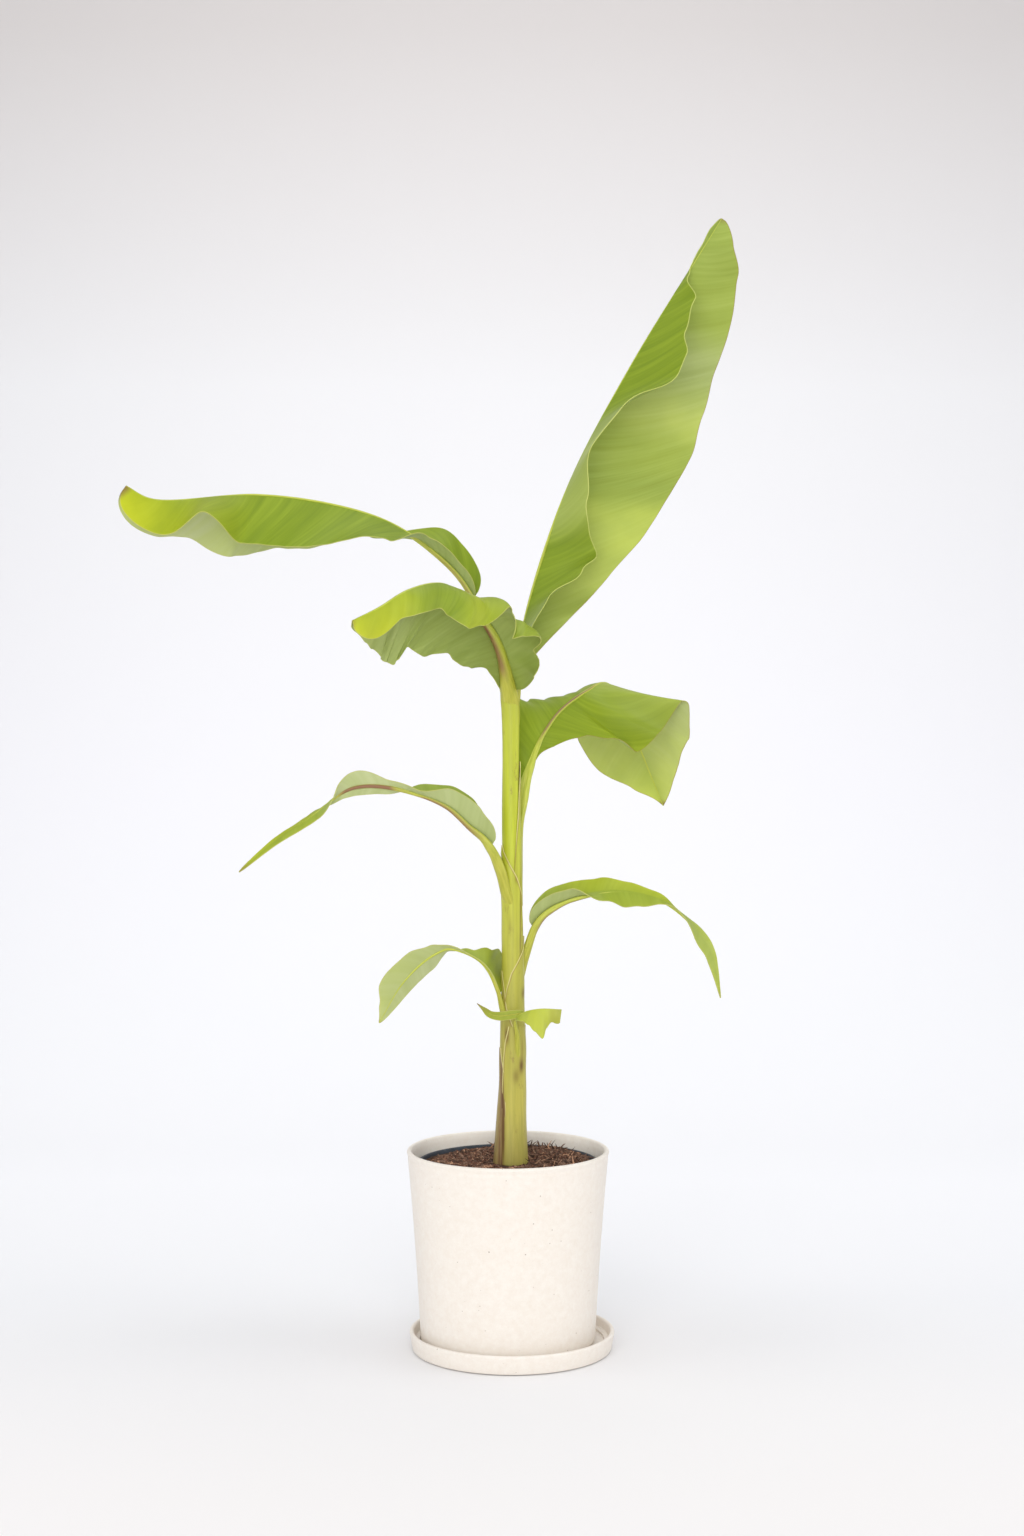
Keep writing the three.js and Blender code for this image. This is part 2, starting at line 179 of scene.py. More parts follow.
def paper_roll():
    nothing_selected()
    bpy.ops.mesh.primitive_plane_add(size=1)
    paper = bpy.context.object
    paper.name = "backdrop"
    for vertex in paper.data.vertices:
        side, depth = vertex.co.x * 2, vertex.co.y + 0.5
        back = PAPER_FRONT + depth * (PAPER_BACK - PAPER_FRONT)
        vertex.co = Vector((side * PAPER_HALF_WIDTH, back, 0)) * MM
    bpy.ops.object.mode_set(mode="EDIT")
    select_back_edge(paper)
    bpy.ops.mesh.extrude_region_move(TRANSFORM_OT_translate={"value": (0, 0, PAPER_HEIGHT * MM)})
    select_back_edge(paper)
    bpy.ops.mesh.bevel(offset=PAPER_BEND * MM, segments=PAPER_BEND_STEPS, affect="EDGES")
    bpy.ops.object.mode_set(mode="OBJECT")
    bpy.ops.object.shade_smooth()
    paper.data.materials.append(paper_material())
    return paper


report(paper_roll())

# %% [markdown]
# Soft light comes from large lamps. The widest one, in front and a little to the left, gives
# the leaves and the round pot their shape. Weaker ones stand at both sides, one hangs above,
# one lights the paper behind the plant, and a pale sky fills in from all round. The bigger a
# lamp is, the softer its shadow.

# %% Light
LAMPS = {
    "key": dict(place=(-300, -2900, 1250), aim=(0, 0, 420), size=2600, watts=48, spread=180),
    "left": dict(place=(-2300, -300, 1200), aim=(0, 0, 500), size=2000, watts=9, spread=180),
    "right": dict(place=(2300, -500, 1200), aim=(0, 0, 500), size=2000, watts=13, spread=180),
    "top": dict(place=(250, 300, 2900), aim=(0, 0, 500), size=2200, watts=10, spread=180),
    "wall": dict(place=(0, 450, 2750), aim=(0, 2050, 250), size=1700, watts=9, spread=110),
}
SKY = "#f7f9ff"
SKY_STRENGTH = 0.64

for lamp_name, lamp in LAMPS.items():
    lamp_data = bpy.data.lights.new(lamp_name, "AREA")
    lamp_data.shape = "DISK"
    lamp_data.size = lamp["size"] * MM
    lamp_data.energy = lamp["watts"]
    lamp_data.spread = math.radians(lamp["spread"])
    lamp_object = bpy.data.objects.new(lamp_name, lamp_data)
    lamp_object.location = [v * MM for v in lamp["place"]]
    aim = Vector(lamp["aim"]) - Vector(lamp["place"])
    lamp_object.rotation_euler = aim.to_track_quat("-Z", "Y").to_euler()
    bpy.context.scene.collection.objects.link(lamp_object)

sky = bpy.data.worlds.new("sky")
sky.use_nodes = True
sky.node_tree.nodes["Background"].inputs["Color"].default_value = linear(SKY)
sky.node_tree.nodes["Background"].inputs["Strength"].default_value = SKY_STRENGTH
bpy.context.scene.world = sky
bpy.context.scene.view_settings.view_transform = "Standard"
print(len(LAMPS), "lamps")

# %% [markdown]
# The pot and the saucer were thrown on a wheel, and Blender has the same way of working: a
# profile is drawn with single points, each extruded from the last, and spun round the axis.
# The doubled points on the axis and along the seam are merged afterwards, and the faces are
# turned to point outwards. Rounded edges come from arcs in the profile.

# %% Turning on the wheel
POT_CENTRE = -4
TURNED_STEPS = 128


def arc(x, z, radius, start, end, steps=6):
    """Points on an arc in the profile's plane, between two angles in degrees."""
    angles = np.radians(np.linspace(start, end, steps + 1))
    return [(x + radius * math.cos(a), z + radius * math.sin(a)) for a in angles]


def turned(name, profile, centre=0.0, smooth=40):
    """Spins a profile of (radius, height) points, in mm, round an upright axis."""
    nothing_selected()
    bpy.ops.mesh.primitive_plane_add(size=MM)
    piece = bpy.context.object
    piece.name = name
    bpy.ops.object.mode_set(mode="EDIT")
    bpy.ops.mesh.select_all(action="SELECT")
    bpy.ops.mesh.merge(type="CENTER")
    start = bmesh.from_edit_mesh(piece.data).verts
    start.ensure_lookup_table()
    start[0].co = Vector((centre + profile[0][0], 0, profile[0][1])) * MM
    for (r0, z0), (r1, z1) in zip(profile, profile[1:]):
        step = ((r1 - r0) * MM, 0, (z1 - z0) * MM)
        bpy.ops.mesh.extrude_region_move(TRANSFORM_OT_translate={"value": step})
    bpy.ops.mesh.select_all(action="SELECT")
    bpy.ops.mesh.spin(steps=TURNED_STEPS, angle=2 * math.pi, use_auto_merge=False,
                      center=(centre * MM, 0, 0), axis=(0, 0, 1))
    bpy.ops.mesh.select_all(action="SELECT")
    bpy.ops.mesh.remove_doubles(threshold=0.02 * MM)
    bpy.ops.mesh.normals_make_consistent(inside=False)
    bpy.ops.object.mode_set(mode="OBJECT")
    bpy.ops.object.shade_smooth_by_angle(angle=math.radians(smooth))
    return piece


# %% [markdown]
# Stoneware is clay fired so hard that it turns to stone. This one is cream, with a dry satin
# glaze. Tiny grains of iron in the clay melt through the glaze as brown specks, less than a
# centimetre apart. The surface has soft clouds of lighter and darker cream, and faint rings
# from the potter's fingers.

# %% Stoneware
GLAZE_CLOUD = 7.14
GLAZE_GRAIN = 1.43
SPECK_SPACING = 7
SPECK_RADIUS = 0.7
RING_SPACING = 34.56
# A wave texture of scale 1 repeats after this many metres.
WAVE_LENGTH = 2 * math.pi / 20


def finish(tree, colour, relief, strength, depth, settings):
    """Ends a material with its shader. The relief is a bump, depth is in mm."""
    bump = add(tree, "Bump", {"Height": relief, "Strength": strength, "Distance": depth * MM})
    skin = add(tree, "BsdfPrincipled", {"Base Color": colour, "Normal": bump.outputs["Normal"],
                                        **settings})
    add(tree, "OutputMaterial", {"Surface": skin.outputs["BSDF"]})


def stoneware_material():
    material, tree = new_material("cream speckled stoneware")
    place = add(tree, "TexCoord").outputs["Object"]
    clouds = add(tree, "TexNoise", {"Vector": place, "Scale": 1000 / GLAZE_CLOUD, "Detail": 7,
                                    "Roughness": 0.8})
    cream = add(tree, "ValToRGB", {"Fac": clouds.outputs["Fac"]},
                stops=[(0.3, "#e6dccf"), (0.5, "#eae2d7"), (0.7, "#eee8de")])
    cells = add(tree, "TexVoronoi", {"Vector": place, "Scale": 1000 / SPECK_SPACING})
    # A third of the cells have no speck, and the rest have specks of all sizes.
    size = add(tree, "MapRange", {"Value": cells.outputs["Color"], "From Min": 0.35, "From Max": 1,
                                  "To Min": 0, "To Max": SPECK_RADIUS / SPECK_SPACING})
    inside = add(tree, "Math", {0: cells.outputs["Distance"], 1: size.outputs[0]},
                 operation="LESS_THAN")
    strength = add(tree, "Math", {0: inside.outputs[0], 1: 0.8}, operation="MULTIPLY")
    speckled = add(tree, "Mix", {"Factor": strength.outputs[0], "A": cream.outputs["Color"],
                                 "B": linear("#8f7760")}, data_type="RGBA")
    grain = add(tree, "TexNoise", {"Vector": place, "Scale": 1000 / GLAZE_GRAIN, "Detail": 2})
    rings = add(tree, "TexWave", {"Vector": place, "Scale": WAVE_LENGTH / (RING_SPACING * MM),
                                  "Distortion": 2.5, "Detail": 2, "Detail Scale": 1.5},
                bands_direction="Z")
    relief = add(tree, "Math", {0: rings.outputs["Fac"], 1: grain.outputs["Fac"]},
                 operation="ADD")
    finish(tree, speckled.outputs["Result"], relief.outputs[0], 0.12, 0.35,
           {"Roughness": 0.5, "IOR": 1.5})
    return material


STONEWARE = stoneware_material()

# %% [markdown]
# The saucer is a shallow dish: a flat foot, a wall that leans out to a round lip, and a low
# step inside. It stands on a ring a little inside its edge, so that a dark line runs under
# it. The pot leans out slightly more towards its rim, and its foot edge is rounded.
# Both have a real wall thickness, because the inside of each shows.

# %% Saucer and pot
SAUCER_FOOT = 98.5
SAUCER_FOOT_ROUND = 1.2
SAUCER_RING = SAUCER_FOOT - 9
SAUCER_LIFT = 0.9
SAUCER_RIM = 101.5
SAUCER_LIP = 2.25
SAUCER_TOP = 19.5
SAUCER_FLOOR = 8
SAUCER_STEP = (92, 10.3)
SAUCER_STEP_ROUND = 0.6

POT_BASE = SAUCER_FLOOR + 0.3
POT_TOP = POT_BASE + 190.5
POT_LIP = 2.5
POT_FLOOR = 9
POT_FOOT = 86.4
POT_FOOT_EDGE = 5
POT_LEAN = 0.045
POT_FLARE = 0.00013
POT_SIDE_TOP = 180
POT_RIM = 100
GROOVE_HEIGHT = 184.2
GROOVE_WIDTH = 1.2
GROOVE_DEPTH = 0.4


def belongs(piece, node):
    """The piece is part of the plant and stands for one of its plain solids."""
    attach(piece, "root")
    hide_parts(node)
    report(piece)


def pot_radius(height):
    """Outer radius of the pot at a height above its base: it leans out, and then more."""
    return POT_FOOT + POT_LEAN * height + POT_FLARE * height ** 2


def saucer():
    step_radius, step_height = SAUCER_STEP
    middle = SAUCER_RIM - SAUCER_LIP
    profile = [(0, 0), (SAUCER_RING, 0), (SAUCER_RING + 0.5, SAUCER_LIFT),
               *arc(SAUCER_FOOT - 1, SAUCER_LIFT + SAUCER_FOOT_ROUND, SAUCER_FOOT_ROUND,
                    -90, -20, 3),
               *arc(middle, SAUCER_TOP - SAUCER_LIP, SAUCER_LIP, 0, 180, 10),
               (step_radius + 3.5, step_height + 0.8), (step_radius + 2.4, step_height),
               (step_radius + SAUCER_STEP_ROUND, step_height),
               *arc(step_radius - 0.4, step_height - SAUCER_STEP_ROUND, SAUCER_STEP_ROUND,
                    90, 180, 3),
               (step_radius - 2 * SAUCER_STEP_ROUND, SAUCER_FLOOR), (0, SAUCER_FLOOR)]
    return turned("saucer_glazed", profile)


def pot():
    foot = pot_radius(POT_FOOT_EDGE)
    heights = [*np.linspace(POT_FOOT_EDGE + 3, POT_SIDE_TOP, 18),
               *(GROOVE_HEIGHT + above for above in (-2.2, -1, 0, 1, 2.2))]
    outside = [(pot_radius(h) - GROOVE_DEPTH * math.exp(-((h - GROOVE_HEIGHT) / GROOVE_WIDTH) ** 2),
                POT_BASE + h) for h in heights]
    inside = [(pot_radius(h) - 2 * POT_LIP, POT_BASE + h) for h in heights[::-3]]
    profile = [(0, POT_BASE),
               *arc(foot - POT_FOOT_EDGE, POT_BASE + POT_FOOT_EDGE, POT_FOOT_EDGE, -90, 0, 8),
               *outside, *arc(POT_RIM - POT_LIP, POT_TOP - POT_LIP, POT_LIP, 0, 180, 10),
               *inside, (foot - 2 * POT_LIP - POT_FOOT_EDGE, POT_BASE + POT_FLOOR),
               (0, POT_BASE + POT_FLOOR)]
    return turned("pot_glazed", profile, POT_CENTRE)


for make, node in ((saucer, "saucer"), (pot, "pot")):
    piece = make()
    piece.data.materials.append(STONEWARE)
    belongs(piece, node)

# %% [markdown]
# Inside the stoneware stands the thin pot that the plant was grown in, vacuum-formed from
# dark blue-grey polypropylene. It has a small rolled lip, and scuffs on its wall make it
# shine more in some places than in others. Only its rim shows above the soil.

# %% Nursery pot
NURSERY_BASE = POT_BASE + POT_FLOOR + 0.3
NURSERY_TOP = NURSERY_BASE + 169
NURSERY_WALL = 1.6
NURSERY_RIM = 89.5
NURSERY_LIP = 1.2
NURSERY_SHOULDER = NURSERY_TOP - 8
NURSERY_FOOT = 76
SCUFF_SIZE = 6.25


def polypropylene_material():
    material, tree = new_material("dark formed polypropylene")
    place = add(tree, "TexCoord").outputs["Object"]
    scuffs = add(tree, "TexNoise", {"Vector": place, "Scale": 1000 / SCUFF_SIZE, "Detail": 5,
                                    "Roughness": 0.7})
    tone = add(tree, "ValToRGB", {"Fac": scuffs.outputs["Fac"]},
               stops=[(0.35, "#2e343c"), (0.6, "#3d444d"), (0.75, "#565e68")])
    shine = add(tree, "MapRange", {"Value": scuffs.outputs["Fac"], "To Min": 0.35, "To Max": 0.65})
    finish(tree, tone.outputs["Color"], scuffs.outputs["Fac"], 0.2, 0.2,
           {"Roughness": shine.outputs[0], "IOR": 1.49})
    return material


def nursery_pot():
    lip_radius, lip_height = NURSERY_RIM - NURSERY_LIP, NURSERY_TOP - NURSERY_LIP
    floor = NURSERY_BASE + NURSERY_WALL
    profile = [(0, NURSERY_BASE), (NURSERY_FOOT, NURSERY_BASE),
               (lip_radius - 0.4, NURSERY_SHOULDER), (lip_radius - 0.2, lip_height),
               *arc(lip_radius, lip_height, NURSERY_LIP, 0, 180, 6),
               (lip_radius - NURSERY_WALL, NURSERY_SHOULDER),
               (NURSERY_FOOT - NURSERY_WALL, floor), (0, floor)]
    piece = turned("nursery_pot_formed", profile, POT_CENTRE)
    piece.data.materials.append(polypropylene_material())
    belongs(piece, "nursery_pot")


nursery_pot()

# %% [markdown]
# Potting mix is coconut fibre and bark. Its surface is a low mound with heaps and hollows,
# which is a turned disc pushed up and down by noise. On it lie hundreds of fibres, splinters
# and crumbs. Each is a few faces, thrown down by a seeded random generator and joined by
# colour into one mesh, because a thousand separate objects would be slow and awkward.

# %% Soil
SOIL_RADIUS = 86.8
SOIL_BASE = NURSERY_BASE + 2.3
SOIL_TOP = [(0, 184.6), (26, 184.8), (36, 185.2), (56, 186), (72, 185.2), (86.8, 182.5)]
SOIL_FOOT = 73.4
SOIL_RINGS = 40
# Heaps on the mound: the place of each to the right and to the back, its half width and its
# height.
SOIL_HEAPS = [(42, 40, 34, 4.5), (72, 8, 26, 2.5), (-18, 44, 16, 2.5)]
SOIL_ROUGHNESS = 1.5
SOIL_LUMPS_PER_MM = 0.13
SOIL_CRUMB = 2.38


def soil_height(x, y):
    """Height of the mound above the frame's floor at a point, in mm."""
    radius = math.hypot(x - POT_CENTRE, y)
    mound = float(np.interp(radius, *zip(*SOIL_TOP)))
    # Near the stem and near the pot's wall the soil is pressed flatter.
    calm = min(1, max(0.15, (radius - 16) / 12)) * min(1, max(0.2, (SOIL_RADIUS - radius) / 6))
    rough = noise.fractal(Vector((x, y, 3.0)) * SOIL_LUMPS_PER_MM, 0.9, 2.1, 4)
    heap = calm * sum(h * math.exp(-((x - hx) / w) ** 2 - ((y - hy) / w) ** 2)
                      for hx, hy, w, h in SOIL_HEAPS)
    return mound + heap + SOIL_ROUGHNESS * calm * rough


def soil_material(name, dark, middle, light):
    """Rough, matt coconut fibre or bark, in three tones of brown."""
    material, tree = new_material(name)
    place = add(tree, "TexCoord").outputs["Object"]
    crumbs = add(tree, "TexNoise", {"Vector": place, "Scale": 1000 / SOIL_CRUMB, "Detail": 6,
                                    "Roughness": 0.75})
    tone = add(tree, "ValToRGB", {"Fac": crumbs.outputs["Fac"]},
               stops=[(0.32, dark), (0.52, middle), (0.72, light)])
    finish(tree, tone.outputs["Color"], crumbs.outputs["Fac"], 0.7, 0.6,
           {"Roughness": 0.9, "Specular IOR Level": 0.25})
    return material


def soil_mound():
    rings = np.linspace(0, SOIL_RADIUS, SOIL_RINGS)
    profile = [(0, SOIL_BASE), (SOIL_FOOT, SOIL_BASE)]
    profile += [(r, float(np.interp(r, *zip(*SOIL_TOP)))) for r in rings[::-1]]
    mound = turned("soil_mound", profile, POT_CENTRE, smooth=60)
    for vertex in mound.data.vertices:
        x, y, z = vertex.co / MM
        if z > SOIL_TOP[-1][1] - 1:
            vertex.co.z = soil_height(x, y) * MM
    mound.data.materials.append(soil_material("damp coconut mix", "#281c16", "#4e392d", "#7b6250"))
    belongs(mound, "soil")


soil_mound()

# %% [markdown]
# The litter on the soil. A fibre is a thin three-sided rod that bends, sags and may lift at
# one end. A crumb is a small bead with its corners pushed about. They are thrown all over
# the mound, clear of the stem and of the wall, and some fibres stand up as tufts, at the
# right and behind the stem.

# %% Litter on the soil
FIBRE_STEPS = 4
LITTER_FROM = 21
LITTER_TO = SOIL_RADIUS - 9
FIBRE_THICKNESS = (0.5, 1.2)
TUFT_LIFT = (3, 8)
LYING_LIFT = (0, 1.2)
FIBRE_SAG = (0, 0.8)
CRUMB_COUNT = 900
CRUMB_SIZE = (0.8, 2.6)


def fibre(start, heading, length, thickness, lift, sag, rng):
    """Rings of three points along one bent fibre, and its faces."""
    points, faces = [], []
    bend = rng.uniform(-0.9, 0.9)
    for step in range(FIBRE_STEPS + 1):
        share = step / FIBRE_STEPS
        angle = heading + bend * share
        along = length * (share - 0.5)
        x, y = start[0] + along * math.cos(angle), start[1] + along * math.sin(angle)
        z = soil_height(x, y) + thickness * 0.4
        z += lift * share ** 1.5 - sag * math.sin(math.pi * share)
        radius = thickness * (1 - 0.75 * abs(2 * share - 1) ** 2)
        for corner in range(3):
            turn = 2 * math.pi * corner / 3 + rng.uniform(-0.3, 0.3)
            points.append((x - radius * math.cos(turn) * math.sin(angle),
                           y + radius * math.cos(turn) * math.cos(angle),
                           z + radius * math.sin(turn)))
    for step in range(FIBRE_STEPS):
        for corner in range(3):
            a, b = step * 3 + corner, step * 3 + (corner + 1) % 3
            faces.append((a, b, b + 3, a + 3))
    last = FIBRE_STEPS * 3
    faces += [(2, 1, 0), (last, last + 1, last + 2)]
    return points, faces


def crumb(place, size, rng):
    """A small lump: an eight-sided bead with its corners pushed about."""
    x, y = place
    z = soil_height(x, y) + size * 0.25
    axes = [(1, 0, 0), (0, 1, 0), (-1, 0, 0), (0, -1, 0), (0, 0, 1), (0, 0, -1)]
    points = [(x + a * size * rng.uniform(0.5, 1.3), y + b * size * rng.uniform(0.5, 1.3),
               z + c * size * rng.uniform(0.4, 0.9)) for a, b, c in axes]
    faces = [(0, 1, 4), (1, 2, 4), (2, 3, 4), (3, 0, 4), (1, 0, 5), (2, 1, 5), (3, 2, 5), (0, 3, 5)]
    return points, faces


def on_the_mound(rng):
    """A random point on the soil, clear of the stem and of the pot's wall."""
    radius = math.sqrt(rng.uniform(LITTER_FROM ** 2, LITTER_TO ** 2))
    angle = rng.uniform(0, 2 * math.pi)
    return POT_CENTRE + radius * math.cos(angle), radius * math.sin(angle)


def joined(name, parts, material):
    """One mesh on the soil from many (points, faces) parts, in mm."""
    points, faces = [], []
    for part_points, part_faces in parts:
        faces += [tuple(i + len(points) for i in face) for face in part_faces]
        points += part_points
    mesh = bpy.data.meshes.new(name)
    mesh.from_pydata([[v * MM for v in point] for point in points], [], faces)
    mesh.validate()
    piece = bpy.data.objects.new(name, mesh)
    bpy.context.scene.collection.objects.link(piece)
    mesh.materials.append(material)
    belongs(piece, "soil")


def litter(name, seed, count, length, tufts, material):
    """Fibres of one colour, of which the first few may stand up as tufts."""
    rng = random.Random(seed)
    parts = []
    for index in range(count):
        spot = on_the_mound(rng)
        tuft = index < tufts and (spot[0] > 12 or (spot[0] > -24 and spot[1] > 26))
        lift = rng.uniform(*(TUFT_LIFT if tuft else LYING_LIFT))
        parts.append(fibre(spot, rng.uniform(0, 2 * math.pi), rng.uniform(*length),
                           rng.uniform(*FIBRE_THICKNESS), lift, rng.uniform(*FIBRE_SAG), rng))
    joined(name, parts, material)


litter("soil_fibres_dark", 11, 620, (6, 20), 110,
       soil_material("dark coconut fibre", "#31231d", "#563f33", "#7e6352"))
litter("soil_fibres_brown", 12, 620, (6, 22), 130,
       soil_material("brown coconut fibre", "#604739", "#836654", "#a2816b"))
litter("soil_splinters_pale", 13, 260, (6, 18), 16,
       soil_material("pale bark splinters", "#a3775c", "#bf9274", "#d3ab8b"))
crumb_rng = random.Random(14)
joined("soil_crumbs", [crumb(on_the_mound(crumb_rng), crumb_rng.uniform(*CRUMB_SIZE), crumb_rng)
                       for _ in range(CRUMB_COUNT)],
       soil_material("bark crumbs", "#3a241a", "#6c4a3a", "#936b5a"))

# %% [markdown]
# A leaf and its stem are long things that bend, so both are described by a line and what is
# round it. The line runs smoothly through a few points measured on the plant. Values that
# change along it, such as a width or an angle, are given at a few places and eased between
# them. The plain solids were made by the same rules, so each leaf here lies over its own.

# %% Lines and eased values
def smooth_line(points, samples):
    """Even samples of a centripetal Catmull-Rom curve through points, and its length."""
    p = np.asarray(points, float)
    p = np.vstack([2 * p[0] - p[1], p, 2 * p[-1] - p[-2]])
    pieces = []
    for i in range(1, len(p) - 2):
        p0, p1, p2, p3 = p[i - 1:i + 3]
        t1 = np.linalg.norm(p1 - p0) ** 0.5
        t2 = t1 + np.linalg.norm(p2 - p1) ** 0.5
        t3 = t2 + np.linalg.norm(p3 - p2) ** 0.5
        t = np.linspace(t1, t2, 80, endpoint=False)[:, None]
        a1 = (t1 - t) / t1 * p0 + t / t1 * p1
        a2 = (t2 - t) / (t2 - t1) * p1 + (t - t1) / (t2 - t1) * p2
        a3 = (t3 - t) / (t3 - t2) * p2 + (t - t2) / (t3 - t2) * p3
        b1 = (t2 - t) / t2 * a1 + t / t2 * a2
        b2 = (t3 - t) / (t3 - t1) * a2 + (t - t1) / (t3 - t1) * a3
        pieces.append((t2 - t) / (t2 - t1) * b1 + (t - t1) / (t2 - t1) * b2)
    line = np.vstack(pieces + [p[-2][None]])
    run = np.r_[0, np.cumsum(np.linalg.norm(np.diff(line, axis=0), axis=1))]
    even = np.linspace(0, run[-1], samples)
    return np.stack([np.interp(even, run, line[:, k]) for k in range(3)], -1), run[-1]


def keyed(value, share):
    """A number, or a list of (share, value) pairs eased at each share in an array."""
    share = np.asarray(share, float)
    if np.isscalar(value):
        return np.full(share.shape, float(value))
    at, values = np.array(value, float).T
    i = np.clip(np.searchsorted(at, share, side="right") - 1, 0, len(at) - 2)
    t = np.clip((share - at[i]) / (at[i + 1] - at[i]), 0, 1)
    return values[i] + (values[i + 1] - values[i]) * t * t * (3 - 2 * t)


def unit(vectors):
    """The vectors made one long."""
    return vectors / np.maximum(np.linalg.norm(vectors, axis=-1, keepdims=True), 1e-12)


# %% [markdown]
# The leaves. A midrib, "rib", is a line of points in millimetres, with a radius along it.
# Its first part, "petiole", carries no blade. "heading" is the way the leaf points, seen from
# above, in degrees from the right, and "roll" twists the blade round its midrib.
#
# Each half of a blade has a width, the angle "fold" at which it leaves the midrib, and how
# far it curls on its way to the margin: raised is positive, drooping negative. "widest",
# "rise" and "fall" shape its outline, "sweep" draws its margin towards the tip, and "ripple"
# pushes the margin in and out in waves. "clear" holds a blade off a thick midrib, and
# "gutter" is how deep the midrib is hollowed.
#
# "wax_and_sheen", "ripe_and_glow" and "dry" say where the skin is greyed by wax and by a
# painted sheen, yellowed by ripening and by painted light, a glow where light shines through
# the blade, or dried to brown. "rust" is how much of the left and of the right margin has
# turned red-brown, and "blush" where the midrib is reddened: how much along it, and on which
# side, as the angle "turn" round it with a "spread" to both sides.

